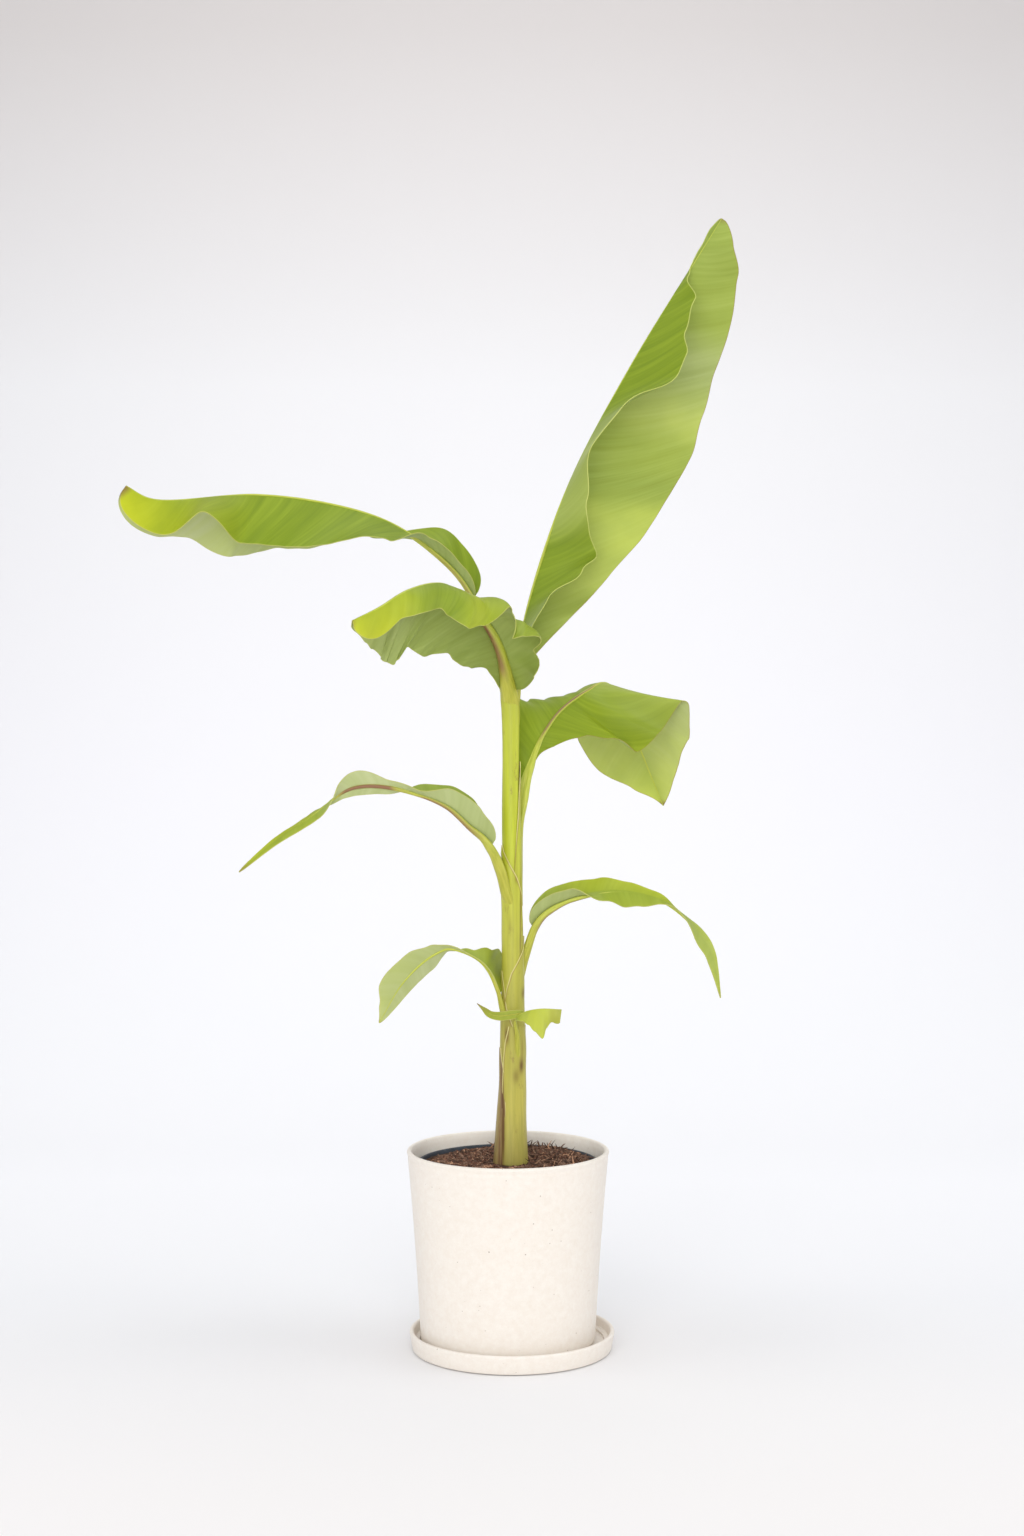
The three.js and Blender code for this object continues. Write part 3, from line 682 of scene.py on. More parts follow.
# %% Leaf measurements
LEAVES = {
    # The tall upright leaf to the upper right, folded like a roof along its rib.
    "leaf_1": dict(
        rust=(0.9, 0),
        wax_and_sheen=dict(left=[(0, 0.1), (0.3, 0.05), (0.4, 0), (0.5, 0), (0.62, 0.2), (0.7, 0.35),
                       (0.8, 0), (1, 0)],
                 right=[(0, 0.7), (0.06, 0.55), (0.12, 0.05), (0.25, 0.05), (0.32, 0.5),
                        (0.45, 0.5), (0.5, 0.3), (0.56, 0), (1, 0)]),
        ripe_and_glow=dict(left=[(0, 0.3), (0.12, 0.35), (0.2, 0.6), (0.34, 0.65), (0.4, 0.15), (0.42, 0.1),
                        (0.5, 0.25), (0.58, 0.55), (0.68, 0.1), (0.8, 0.22), (1, 0.15)],
                  right=[(0, 0), (0.25, 0), (0.34, 0.2), (0.45, 0.2), (0.52, 0), (1, 0)]),
        dry=[(0, 0), (0.985, 0), (1, 0.5)],
        rib=[(1.5, 5.5, 644), (12, 26, 722), (54, 48, 852), (116, 64, 972), (211, 78, 1126)],
        petiole=0.05, radius=[(0, 5.8), (0.06, 4), (0.14, 2.6), (0.5, 1.6), (1, 0.6)], heading=4,
        sweep=0.3,
        left=dict(width=[(0, 84), (0.1, 90), (0.2, 96), (0.3, 103), (0.5, 102), (0.6, 94),
                         (0.7, 88), (0.8, 89), (0.9, 86), (0.95, 72), (1, 66)],
                  widest=0.48, rise=0.72, fall=0.62, curl=0,
                  fold=[(0, -108), (0.1, -100), (0.18, -84), (0.5, -79), (0.88, -80),
                        (0.95, -112), (1, -115)], ripple=0.8),
        right=dict(width=[(0, 85), (0.1, 94), (0.2, 76), (0.28, 51), (0.38, 49), (0.48, 69),
                          (0.55, 80), (0.66, 77), (0.72, 59), (0.8, 47), (0.86, 14), (0.89, 4),
                          (0.93, 6), (0.97, 13), (1, 13)],
                   widest=0.5, rise=0.5, fall=0.5, curl=0,
                   fold=[(0, -5), (0.1, -16), (0.18, -42), (0.24, -61), (0.33, -26),
                         (0.42, -3), (0.5, -8), (0.62, -34), (0.8, -30), (0.86, -10),
                         (0.92, 70), (1, 80)], ripple=0.5)),
    # The long arched leaf to the left: a raised trough at its base, then a roof.
    "leaf_2": dict(
        wax_and_sheen=dict(left=[(0, 0.3), (0.3, 0), (1, 0)],
                 right=[(0, 0), (0.25, 0), (0.35, 0.3), (0.7, 0.6), (0.8, 0.8), (1, 0.5)]),
        ripe_and_glow=dict(left=[(0, 0), (0.62, 0), (0.74, 0.2), (0.85, 0.4), (0.94, 0.7), (1, 0.9)],
                  right=[(0, 0), (0.55, 0.3), (0.75, 0.6), (1, 0.5)]),
        dry=[(0, 0), (0.975, 0), (1, 0.9)],
        blush=dict(along=[(0, 0), (0.1, 0), (0.2, 0.5), (0.3, 0.5), (0.42, 0)], turn=215,
                   spread=30),
        rib=[(-3.5, 8, 644), (-9, 12, 668), (-20, 17, 702), (-46, 22, 757), (-77, 16, 789),
             (-120, 4, 817), (-171, -8, 833), (-246, -26, 842), (-345, -50, 836), (-369, -56, 848)],
        petiole=0.22, radius=[(0, 6), (0.1, 4.6), (0.3, 3.4), (0.6, 2), (1, 0.7)], heading=188,
        sweep=0.3,
        left=dict(width=[(0, 30), (0.1, 22), (0.18, 30), (0.26, 58), (0.4, 61), (1, 61)],
                  widest=0.5, rise=0.5, fall=0.5, curl=[(0, 0), (1, -10)],
                  fold=[(0, 50), (0.1, 42), (0.19, 10), (0.26, -22), (0.5, -52), (0.66, -56),
                        (0.78, -14), (0.9, -60), (1, -60)], ripple=1.0),
        right=dict(width=66, widest=0.5, rise=0.5, fall=0.5, curl=0,
                   fold=[(0, 60), (0.1, 45), (0.26, -20), (0.5, -48), (0.68, -72), (0.8, -42),
                         (1, -60)], ripple=1.6)),
    # The leaf that comes forward and then turns left, with its near half rolled over.
    "leaf_3": dict(
        wax_and_sheen=dict(left=[(0, 0.05), (0.3, 0.15), (0.38, 0.5), (0.44, 0.1), (1, 0.1)],
                 right=[(0, 0.1), (0.6, 0.1), (0.75, 0.3), (1, 0.3)]),
        ripe_and_glow=dict(left=[(0, 0), (0.3, 0.15), (0.42, 0.2), (0.52, 0.45), (0.6, 0), (0.72, 0.1),
                        (0.82, 0.6), (0.9, 0.9), (1, 1)],
                  right=[(0, 0), (0.8, 0.05), (0.95, 0.4), (1, 0.5)]),
        dry=[(0, 0), (0.985, 0), (1, 0.4)],
        blush=dict(along=[(0, 0), (0.06, 0), (0.14, 0.8), (0.32, 1), (0.6, 1), (0.75, 0.7)],
                   turn=292, spread=44),
        rib=[(-1.5, -1, 644), (-8.5, -17, 682), (-15.5, -32, 702), (-25, -46, 718), (-43, -83, 739),
             (-66.8, -119, 752.7), (-95.5, -147, 745.6), (-122.2, -166, 728.6),
             (-144.9, -179, 716.6)],
        petiole=0.03, clear=0.8,
        radius=[(0, 8.6), (0.05, 7.8), (0.1, 6.4), (0.15, 5.4), (0.22, 4.8), (0.32, 4.2),
                (0.5, 3.2), (0.75, 2.1), (1, 0.8)],
        heading=[(0, 262), (0.4, 230), (1, 205)],
        sweep=[(0, 0.1), (0.5, 0.12), (0.8, 0.35), (1, 0.6)],
        left=dict(width=[(0, 70), (0.1, 90), (0.15, 44), (0.2, 70), (0.25, 73), (0.3, 61),
                         (0.36, 40), (0.42, 47), (0.48, 53), (0.54, 58), (0.6, 41), (0.66, 30),
                         (0.74, 33), (0.82, 27), (0.9, 46), (1, 40)],
                  widest=0.45, rise=0.5, fall=0.5,
                  fold=[(0, -40), (0.1, -31), (0.15, 17), (0.2, 53), (0.25, 46), (0.3, 39),
                        (0.36, 34), (0.42, 40), (0.48, 14), (0.54, 0), (0.6, -16), (0.66, -32),
                        (0.74, -30), (0.82, -62), (0.9, -94), (1, -80)],
                  curl=[(0, -20), (0.1, -40), (0.15, -50), (0.2, -120), (0.25, -140),
                        (0.3, -140), (0.36, -70), (0.42, -85), (0.48, -117), (0.6, -100),
                        (0.66, -60), (0.74, -50), (0.82, -40), (1, -20)], ripple=0.5),
        right=dict(width=[(0, 14), (0.1, 25), (0.16, 46), (0.22, 54), (0.3, 50), (0.42, 68),
                          (0.53, 69), (0.6, 80), (0.7, 88), (0.75, 89), (0.8, 96), (0.86, 92),
                          (0.9, 79), (0.95, 69), (1, 66)],
                   widest=0.45, rise=0.5, fall=0.5,
                   sweep=[(0, 0.1), (0.5, 0.12), (0.7, 0.3), (0.85, 0.2), (1, 0.1)],
                   fold=[(0, -44), (0.1, -44), (0.16, -57), (0.22, -65), (0.3, -61), (0.42, -59),
                         (0.53, -62), (0.6, -67), (0.66, -60), (0.75, -52), (0.8, -42),
                         (0.86, -36), (0.9, -36), (1, -30)],
                   curl=-10, ripple=1.8)),
    # The leaf that rises at the right, crosses behind the stem and hangs over at its end.
    "leaf_4": dict(
        rust=(0.8, 0.7),
        wax_and_sheen=dict(left=[(0, 0), (0.5, 0), (0.7, 0.2), (1, 0)],
                 right=[(0, 0), (0.4, 0), (0.46, 0.2), (0.55, 0.5), (0.75, 0.3), (1, 0.1)]),
        ripe_and_glow=dict(left=[(0, 0), (0.35, 0.1), (0.5, 0.12), (0.65, 0.65), (0.85, 0.8), (1, 1)],
                  right=[(0, 0.05), (0.45, 0.12), (0.6, 0.7), (0.8, 0.9), (1, 1)]),
        dry=[(0, 0), (0.975, 0), (1, 1)],
        blush=dict(along=[(0, 0), (0.3, 0), (0.36, 0.8), (0.5, 1), (0.57, 0.7), (0.62, 0)],
                   turn=65, spread=38),
        rib=[(4.5, 8, 465), (5.5, 9, 520), (10, 12, 544), (14.5, 20, 571), (26, 34, 601),
             (42, 60, 625), (56, 84, 638), (75, 112, 650), (97, 140, 659), (119, 175, 632),
             (137, 190, 587), (161, 195, 528)],
        petiole=0.2, gutter=0.2,
        radius=[(0, 5.6), (0.18, 5.6), (0.25, 5.8), (0.29, 4.4), (0.34, 3.2), (0.42, 2.6),
                (0.6, 2.1), (1, 0.8)],
        heading=[(0, 55), (1, 64)], sweep=0.3,
        left=dict(width=[(0, 50), (0.2, 52), (0.26, 41), (0.33, 33), (0.4, 34), (0.46, 39),
                         (0.52, 38), (0.57, 36), (0.63, 64), (0.7, 72), (0.8, 75), (0.9, 56),
                         (1, 30)],
                  widest=0.5, rise=0.5, fall=0.85,
                  fold=[(0, 10), (0.12, 50), (0.2, 67), (0.26, 55), (0.33, 35), (0.4, 13),
                        (0.46, -5), (0.57, -5), (0.63, -22), (0.7, -17), (0.8, -16), (0.9, -34),
                        (1, -38)],
                  curl=[(0, -20), (0.2, -50), (0.26, -70), (0.4, -60), (0.46, -40), (0.57, -20),
                        (0.63, 0), (1, 0)], ripple=0.6),
        right=dict(width=[(0, 22), (0.1, 24), (0.16, 43), (0.25, 54), (0.32, 68), (0.38, 89),
                          (0.46, 85), (0.52, 92), (0.8, 97), (1, 110)],
                   widest=0.5, rise=1.3, fall=1, curl=0,
                   fold=[(0, -30), (0.1, -40), (0.15, -70), (0.22, -53), (0.34, -49),
                         (0.38, -55), (0.44, -37), (0.5, -14), (0.6, -20), (0.8, -27),
                         (1, -34)], ripple=0.5)),
    # The narrow twisted leaf to the left.
    "leaf_5": dict(
        wax_and_sheen=dict(left=[(0, 0.5), (0.3, 0.55), (0.4, 0.75), (0.6, 0.75), (0.7, 0.2), (1, 0.1)],
                 right=[(0, 0.35), (0.3, 0.3), (0.4, 0.7), (0.6, 0.6), (0.7, 0.1), (1, 0.1)]),
        ripe_and_glow=dict(left=[(0, 0.1), (0.6, 0.1), (0.75, 0.3), (1, 0.5)],
                  right=[(0, 0), (0.6, 0.1), (0.75, 0.6), (1, 0.8)]),
        dry=[(0, 0), (0.93, 0), (1, 0.5)],
        blush=dict(along=[(0, 0), (0.16, 0.1), (0.24, 0.8), (0.38, 0.9), (0.42, 0.2), (0.47, 0.3),
                          (0.5, 1), (0.62, 1), (0.66, 0.1), (1, 0)], turn=260, spread=75),
        rib=[(-2, -5, 453), (-7.5, -8, 475), (-16, -11, 495), (-27, -13, 509), (-41, -15, 520),
             (-63, -17, 539), (-107, -21, 555), (-143, -24, 559), (-163, -26, 554),
             (-198, -29, 528), (-235, -32, 502), (-265, -35, 476)],
        petiole=0.15, heading=185,
        radius=[(0, 8), (0.08, 7.8), (0.14, 6.8), (0.19, 5), (0.26, 3.6), (0.4, 2.2), (1, 0.7)],
        sweep=0.1, roll=[(0, 0), (0.3, 0), (0.42, -70), (0.55, -70), (0.68, 30), (1, 40)],
        left=dict(width=[(0, 27), (0.1, 25), (0.2, 20), (0.3, 9), (0.4, 8), (0.5, 18),
                         (0.56, 15), (0.64, 11), (1, 8)],
                  widest=0.2, rise=0.5, fall=0.5, curl=0,
                  fold=[(0, 60), (0.18, 60), (0.32, 30), (0.42, 0), (0.52, 0), (0.58, -35),
                        (0.66, -15), (1, 0)], ripple=0.8),
        right=dict(width=[(0, 28), (0.1, 25), (0.2, 22), (0.28, 17), (0.36, 7), (0.5, 10),
                          (0.6, 6), (0.7, 9), (1, 8)],
                   widest=0.2, rise=0.5, fall=0.5, curl=0,
                   fold=[(0, 60), (0.18, 62), (0.32, 40), (0.42, 0), (0.52, 0), (0.58, -35),
                         (0.66, -15), (1, 0)], ripple=1.4)),
    # The low leaf to the right, a narrow arch that hangs down at its end.
    "leaf_6": dict(
        wax_and_sheen=dict(left=[(0, 0.35), (0.3, 0.1), (0.6, 0.1), (0.72, 0.5), (1, 0.4)],
                 right=[(0, 0.45), (0.25, 0.45), (0.34, 0.15), (0.6, 0.15), (0.72, 0.5), (1, 0.4)]),
        ripe_and_glow=dict(left=[(0, 0.2), (0.3, 0.5), (0.6, 0.5), (0.85, 0.5), (1, 0.8)],
                  right=[(0, 0.1), (0.3, 0.2), (0.6, 0.35), (0.85, 0.4), (1, 0.8)]),
        dry=[(0, 0), (0.95, 0), (1, 0.3)],
        blush=dict(along=[(0, 0), (0.12, 0), (0.2, 0.8), (0.36, 0.8), (0.42, 0), (1, 0)],
                   turn=275, spread=38),
        rib=[(6, 6, 372), (9.5, 7, 387), (14.5, 8, 404), (21, 8, 420), (31, 8, 432), (53, 8, 444),
             (97, 4, 454), (126, 0, 452), (150, -3, 444), (175, -6, 424), (195, -8, 395),
             (205, -10, 350)],
        petiole=0.16, heading=-4, sweep=0.1,
        radius=[(0, 6), (0.08, 6.3), (0.16, 5.8), (0.23, 4.8), (0.32, 3.2), (0.5, 2), (1, 0.7)],
        roll=[(0, 0), (0.2, 0), (0.34, -55), (0.5, -50), (0.6, 10), (0.8, -40), (1, -40)],
        left=dict(width=[(0, 22), (0.1, 22), (0.2, 19), (0.3, 15), (0.4, 10), (0.5, 7),
                         (0.6, 9), (0.75, 11), (1, 8)],
                  widest=0.25, rise=0.5, fall=0.6, curl=0,
                  fold=[(0, 65), (0.18, 60), (0.32, 20), (1, 0)], ripple=0.7),
        right=dict(width=[(0, 22), (0.2, 16), (0.32, 11), (0.4, 19), (0.47, 16), (0.55, 8),
                          (0.65, 12), (0.74, 18), (0.85, 16), (1, 8)],
                   widest=0.25, rise=0.5, fall=0.6, curl=0,
                   fold=[(0, 60), (0.18, 45), (0.32, 0), (1, 0)], ripple=0.7)),
    # The short drooping leaf low on the left.
    "leaf_7": dict(
        wax_and_sheen=dict(left=[(0, 0.6), (1, 0.5)], right=[(0, 0.15), (0.3, 0.4), (0.4, 0.8), (1, 0.6)]),
        ripe_and_glow=dict(left=[(0, 0.2), (0.55, 0.4), (0.8, 0.75), (1, 1)],
                  right=[(0, 0.5), (0.3, 0.3), (0.5, 0), (0.9, 0.5), (1, 1)]),
        dry=[(0, 0), (0.98, 0), (1, 0.6)],
        rib=[(-7, -6, 336), (-13, -8, 358), (-22, -9, 377), (-34, -10, 389), (-61, -14, 399),
             (-71, -15, 396), (-87, -17, 386), (-109, -19, 363), (-130, -22, 327)],
        petiole=0.1, radius=[(0, 4.2), (0.12, 3), (0.4, 1.4), (1, 0.5)], heading=188,
        sweep=0.1, roll=[(0, 0), (0.25, 0), (0.5, -60), (1, -60)],
        left=dict(width=[(0, 14), (0.4, 6), (0.5, 13), (0.6, 21), (0.8, 27), (0.9, 17),
                         (1, 8)], widest=0.6, rise=0.8, fall=0.6, fold=0, curl=0, ripple=0.2),
        right=dict(width=[(0, 50), (0.1, 50), (0.15, 44), (0.2, 20), (0.28, 6), (0.4, 4),
                          (0.55, 15), (0.8, 16), (1, 13)],
                   widest=0.5, rise=0.15, fall=0.6, curl=0,
                   fold=[(0, 40), (0.1, 28), (0.15, 32), (0.2, 50), (0.3, 60), (0.38, 0),
                         (1, 0)], ripple=0.2)),
    # The oldest leaf, a small scrap on the front of the stem.
    "leaf_8": dict(
        wax_and_sheen=dict(left=0.3, right=[(0, 0.3), (1, 0.45)]),
        ripe_and_glow=dict(left=0.6, right=[(0, 0.5), (0.4, 1), (0.55, 2), (0.8, 2), (1, 1)]),
        dry=[(0, 0.02), (0.75, 0.04), (0.85, 0.25), (1, 0.25)],
        rib=[(4, -8, 289), (4, -12, 312), (3, -21, 330), (12, -32, 339), (28, -38, 343),
             (48, -36, 342)],
        petiole=0.42, radius=[(0, 4), (0.2, 3.6), (0.36, 2.4), (0.45, 1.4), (0.6, 0.9), (1, 0.5)],
        heading=-10, sweep=0,
        left=dict(width=[(0, 12), (1, 14)], widest=0.8, rise=0.5, fall=0.15, fold=-20,
                  curl=[(0, 0), (1, -60)], ripple=0.3),
        right=dict(width=[(0, 5), (0.3, 12), (0.45, 19), (0.55, 26), (0.66, 31), (0.75, 19),
                          (0.85, 13), (1, 17)],
                   widest=0.8, rise=0.5, fall=0.15, curl=-20,
                   fold=[(0, -30), (0.45, -36), (0.55, -40), (0.66, -55), (0.78, -78),
                         (0.88, -80), (1, -55)], ripple=0.2)),
    # A strip torn off the oldest leaf, which still hangs on its petiole and points left.
    "leaf_8_strip": dict(
        wax_and_sheen=dict(left=0.2, right=0.2), ripe_and_glow=dict(left=0.5, right=0.4),
        dry=[(0, 0.1), (0.6, 0.15), (0.9, 0.4), (1, 0.9)],
        rib=[(13, -25, 338), (-1, -26, 336), (-12, -28, 335), (-21, -31, 337), (-27, -33, 342),
             (-34, -35, 348)],
        petiole=0.02, radius=[(0, 1), (1, 0.3)], heading=180, sweep=0,
        left=dict(width=[(0, 5), (0.4, 5), (0.7, 4.5), (1, 2)], widest=0.3, rise=0.4, fall=0.5,
                  fold=-70, curl=-30, ripple=0.1),
        right=dict(width=[(0, 4), (0.4, 4), (0.7, 3.6), (1, 1.6)], widest=0.3, rise=0.4, fall=0.5,
                   fold=70, curl=20, ripple=0.1)),
}
LINE_SAMPLES = 400

# %% [markdown]
# At every place along a midrib three directions are needed: along it, to the leaf's right,
# and up out of its upper side. The right-hand direction starts level and is squared to the
# midrib, and a roll turns it where the leaf twists. A blade's points are then a walk out
# from the midrib along an arc.

# %% The leaf rule
NARROWEST = 0.3
FULL_WAVES_AT = 20
# A curl of no degrees would divide by zero, so it is taken as this small angle.
STRAIGHT = 1e-4


def rib_frames(leaf, along):
    """Places, directions and shares of the blade's length at shares of the midrib's length."""
    line, _ = smooth_line(leaf["rib"], LINE_SAMPLES)
    tangents = unit(np.gradient(line, axis=0))
    even = np.linspace(0, 1, LINE_SAMPLES)
    place = np.stack([np.interp(along, even, line[:, k]) for k in range(3)], -1)
    ahead = unit(np.stack([np.interp(along, even, tangents[:, k]) for k in range(3)], -1))
    share = np.clip((along - leaf["petiole"]) / (1 - leaf["petiole"]), 0, 1)
    heading = np.radians(keyed(leaf["heading"], share))
    level = np.stack([np.sin(heading), -np.cos(heading), 0 * heading], -1)
    right = unit(level - (ahead * level).sum(-1, keepdims=True) * ahead)
    up = np.cross(right, ahead)
    roll = np.radians(keyed(leaf.get("roll", 0), share))[..., None]
    right, up = right * np.cos(roll) + up * np.sin(roll), up * np.cos(roll) - right * np.sin(roll)
    return place, ahead, right, up, share


def half_width(half, share):
    """Width in mm of a half blade at shares of the blade's length."""
    widest = half["widest"]
    rising = np.clip(1 - (1 - share / widest) ** 2, 0, 1) ** half["rise"]
    falling = np.clip(1 - ((share - widest) / (1 - widest)) ** 2, 0, 1) ** half["fall"]
    return keyed(half["width"], share) * np.where(share < widest, rising, falling)


def ripples(name, share, half):
    """Waves of the margin, up to about 1.8 high, each leaf and half with waves of its own."""
    rng = random.Random(name + half)
    waves = [(rng.uniform(2.5, 4.5), 1.0), (rng.uniform(6, 9), 0.55), (rng.uniform(13, 18), 0.28)]
    return sum(size * np.sin(2 * math.pi * (count * share + rng.random()))
               for count, size in waves)


def blade_points(name, leaf, along, across):
    """Points of a blade. across runs from -1 at the left margin to 1 at the right one."""
    place, ahead, right, up, share = rib_frames(leaf, along)
    points = np.zeros(along.shape + (3,))
    width = np.zeros(along.shape)
    out = np.abs(across)
    for side, half_name in ((-1, "left"), (1, "right")):
        half = leaf[half_name]
        here = across * side >= 0
        reach = np.maximum(half_width(half, share), NARROWEST)
        fold = np.radians(keyed(half["fold"], share))
        turn = np.radians(keyed(half["curl"], share))
        turn = np.where(np.abs(turn) < STRAIGHT, STRAIGHT, turn)
        angle = fold + turn * out
        sideways = reach * (np.sin(angle) - np.sin(fold)) / turn
        rise = -reach * (np.cos(angle) - np.cos(fold)) / turn
        wave = half["ripple"] * ripples(name, share, half_name)
        wave = wave * out ** 2 * np.clip(reach / FULL_WAVES_AT, 0, 1)
        sideways = sideways - wave * np.sin(angle)
        rise = rise + wave * np.cos(angle)
        swept = keyed(half.get("sweep", leaf["sweep"]), share) * reach * out ** 1.5
        sideways = sideways + leaf.get("clear", 0) * keyed(leaf["radius"], along)
        half_points = (place + (side * sideways)[..., None] * right + rise[..., None] * up
                       + swept[..., None] * ahead)
        points[here] = half_points[here]
        width[here] = reach[here]
    return points, share, width


# %% [markdown]
# The skin of a banana leaf has fine parallel veins that leave the midrib at an angle and
# bend towards the tip. The upper side is a fresh green with a satin shine. The underside is
# paler and greyer, because it has a thin coat of wax. The margin is a thin, almost clear
# rim, which reads as a pale or yellow line, and some margins have dried to red-brown. Old
# leaves turn yellow and then brown from the tip. Some of the yellow is painted light, a glow
# where light shines through a blade, and some of the grey is a painted sheen. The material
# reads this from values that are stored on each blade's points: "vein" runs across the veins
# and "run" along them, "edge" is the way to the margin, and "wax_and_sheen", "ripe_and_glow",
# "dry" and "rust" are the leaf's own.

# %% Leaf skins
VEIN_BAND = 12
VEIN_LINE = 3.2
LEAF_CLOUD = 38.5
RIM_WIDTH = 0.5
DRY_LEAF = "#7d5f38"
RUSTY_MARGIN = "#8c5a3c"


def patchy(tree, pattern, amount):
    """An amount that a noise pattern makes stronger in some places and weaker in others."""
    swing = add(tree, "Math", {0: pattern.outputs["Fac"], 1: 0.5}, operation="ADD")
    return add(tree, "Math", {0: swing.outputs[0], 1: amount}, operation="MULTIPLY",
               use_clamp=True).outputs[0]


def layered(tree, colour, layers):
    """Lays more colours over a first one, like glazes. A layer is a share and a colour."""
    for share, over in layers:
        mix = add(tree, "Mix", {"Factor": share, "A": colour, "B": over}, data_type="RGBA")
        colour = mix.outputs["Result"]
    return colour


def leaf_skin(name, tones, ripe_and_glow, waxy_sheen, margin, roughness):
    """A leaf's surface. tones runs from shadowed to light green, the rest are hex colours."""
    material, tree = new_material(name)
    read = {key: add(tree, "Attribute", attribute_name=key).outputs["Fac"]
            for key in ("vein", "edge", "wax_and_sheen", "ripe_and_glow", "run", "dry", "rust")}
    bands_at = add(tree, "CombineXYZ", {"X": read["vein"], "Y": read["run"]})
    bands = add(tree, "TexNoise", {"Vector": bands_at.outputs[0], "Scale": 1000 / VEIN_BAND,
                                   "Detail": 3, "Roughness": 0.55})
    lines_at = add(tree, "CombineXYZ", {"X": read["vein"], "Y": read["run"], "Z": 0.31})
    lines = add(tree, "TexNoise", {"Vector": lines_at.outputs[0], "Scale": 1000 / VEIN_LINE,
                                   "Detail": 2, "Roughness": 0.5})
    mixed = add(tree, "Mix", {"Factor": 0.35, "A": bands.outputs["Fac"], "B": lines.outputs["Fac"]},
                data_type="FLOAT")
    green = add(tree, "ValToRGB", {"Fac": mixed.outputs["Result"]},
                stops=[(0.34, tones[0]), (0.5, tones[1]), (0.66, tones[2])])
    place = add(tree, "TexCoord").outputs["Object"]
    clouds = add(tree, "TexNoise", {"Vector": place, "Scale": 1000 / LEAF_CLOUD, "Detail": 3})
    # Some of the pale margins have dried to a thin red-brown line.
    edging = layered(tree, linear(margin),
                     [(patchy(tree, clouds, read["rust"]), linear(RUSTY_MARGIN))])
    rim = add(tree, "MapRange", {"Value": read["edge"], "From Min": RIM_WIDTH * 0.5 * MM,
                                 "From Max": RIM_WIDTH * 1.5 * MM, "To Min": 0.6, "To Max": 0})
    # The yellow layer is partly ripening and partly painted light, a glow where light shines
    # through the blade. The grey layer is partly wax and partly painted sheen.
    colour = layered(tree, green.outputs["Color"], [
        (patchy(tree, clouds, read["ripe_and_glow"]), linear(ripe_and_glow)),
        (patchy(tree, bands, read["wax_and_sheen"]), linear(waxy_sheen)),
        (rim.outputs[0], edging),
        (read["dry"], linear(DRY_LEAF))])
    finish(tree, colour, mixed.outputs["Result"], 0.35, 0.35,
           {"Roughness": roughness, "IOR": 1.42, "Specular IOR Level": 0.3})
    return material


# Each skin's yellow colour is ripening and painted glow, its grey colour is wax and painted sheen.
LEAF_SKINS = (leaf_skin("green upper leaf skin", ("#6e8412", "#798e16", "#869a20"),
                        ripe_and_glow="#bfc51f", waxy_sheen="#acb86a", margin="#d3d77a", roughness=0.5),
              leaf_skin("waxy under leaf skin", ("#829239", "#8a9b42", "#95a54d"),
                        ripe_and_glow="#c3cf58", waxy_sheen="#bdc492", margin="#cdce7c", roughness=0.55))

# %% [markdown]
# A blade is a flat grid that is laid along its midrib: each grid point knows how far along
# and how far across it is, and the leaf rule says where that lies. Solidify then gives it
# the thickness of a leaf, with the upper skin on one face and the waxy one on the other.

# %% Blades
BLADE_THICKNESS = 0.7
ROW_LENGTH = 2.2
COLUMN_WIDTH = 3.0
VEIN_SLANT = 0.35
VEIN_BEND = 0.0022
# A vein's own pattern is stretched along it, and the two halves read far apart in the noise.
VEIN_STRETCH = 0.06
HALVES_APART = (500, 90)
SOME_RUST = (0.25, 0.25)


def store(mesh, name, values):
    """Stores one value for each point of a mesh, for a material to read."""
    mesh.attributes.new(name, "FLOAT", "POINT").data.foreach_set("value", np.asarray(values, "f"))


def stored(mesh, name):
    """The values that are stored for each point of a mesh."""
    values = np.empty(len(mesh.vertices))
    mesh.attributes[name].data.foreach_get("value", values)
    return values


def places(mesh):
    """The x, y and z of a mesh's points, in metres."""
    flat = np.empty(len(mesh.vertices) * 3)
    mesh.vertices.foreach_get("co", flat)
    return flat.reshape(-1, 3).T


def grid_shares(piece):
    """For each point of a fresh grid, 0 to 1 along X and -1 to 1 along Y."""
    x, y, _ = places(piece.data)
    return x / x.max() * 0.5 + 0.5, y / y.max()


def place_points(piece, points):
    piece.data.vertices.foreach_set("co", (np.asarray(points) * MM).ravel())
    piece.data.update()


def thicken(piece, thickness, **settings):
    """Gives a sheet its thickness, half to each side."""
    solid = piece.modifiers.new("thickness", "SOLIDIFY")
    solid.thickness = thickness * MM
    solid.offset = 0
    for name, value in settings.items():
        setattr(solid, name, value)
    bpy.ops.object.modifier_apply(modifier=solid.name)


def flat_grid(name, rows, columns):
    nothing_selected()
    bpy.ops.mesh.primitive_grid_add(x_subdivisions=rows, y_subdivisions=columns, size=1)
    piece = bpy.context.object
    piece.name = name
    return piece


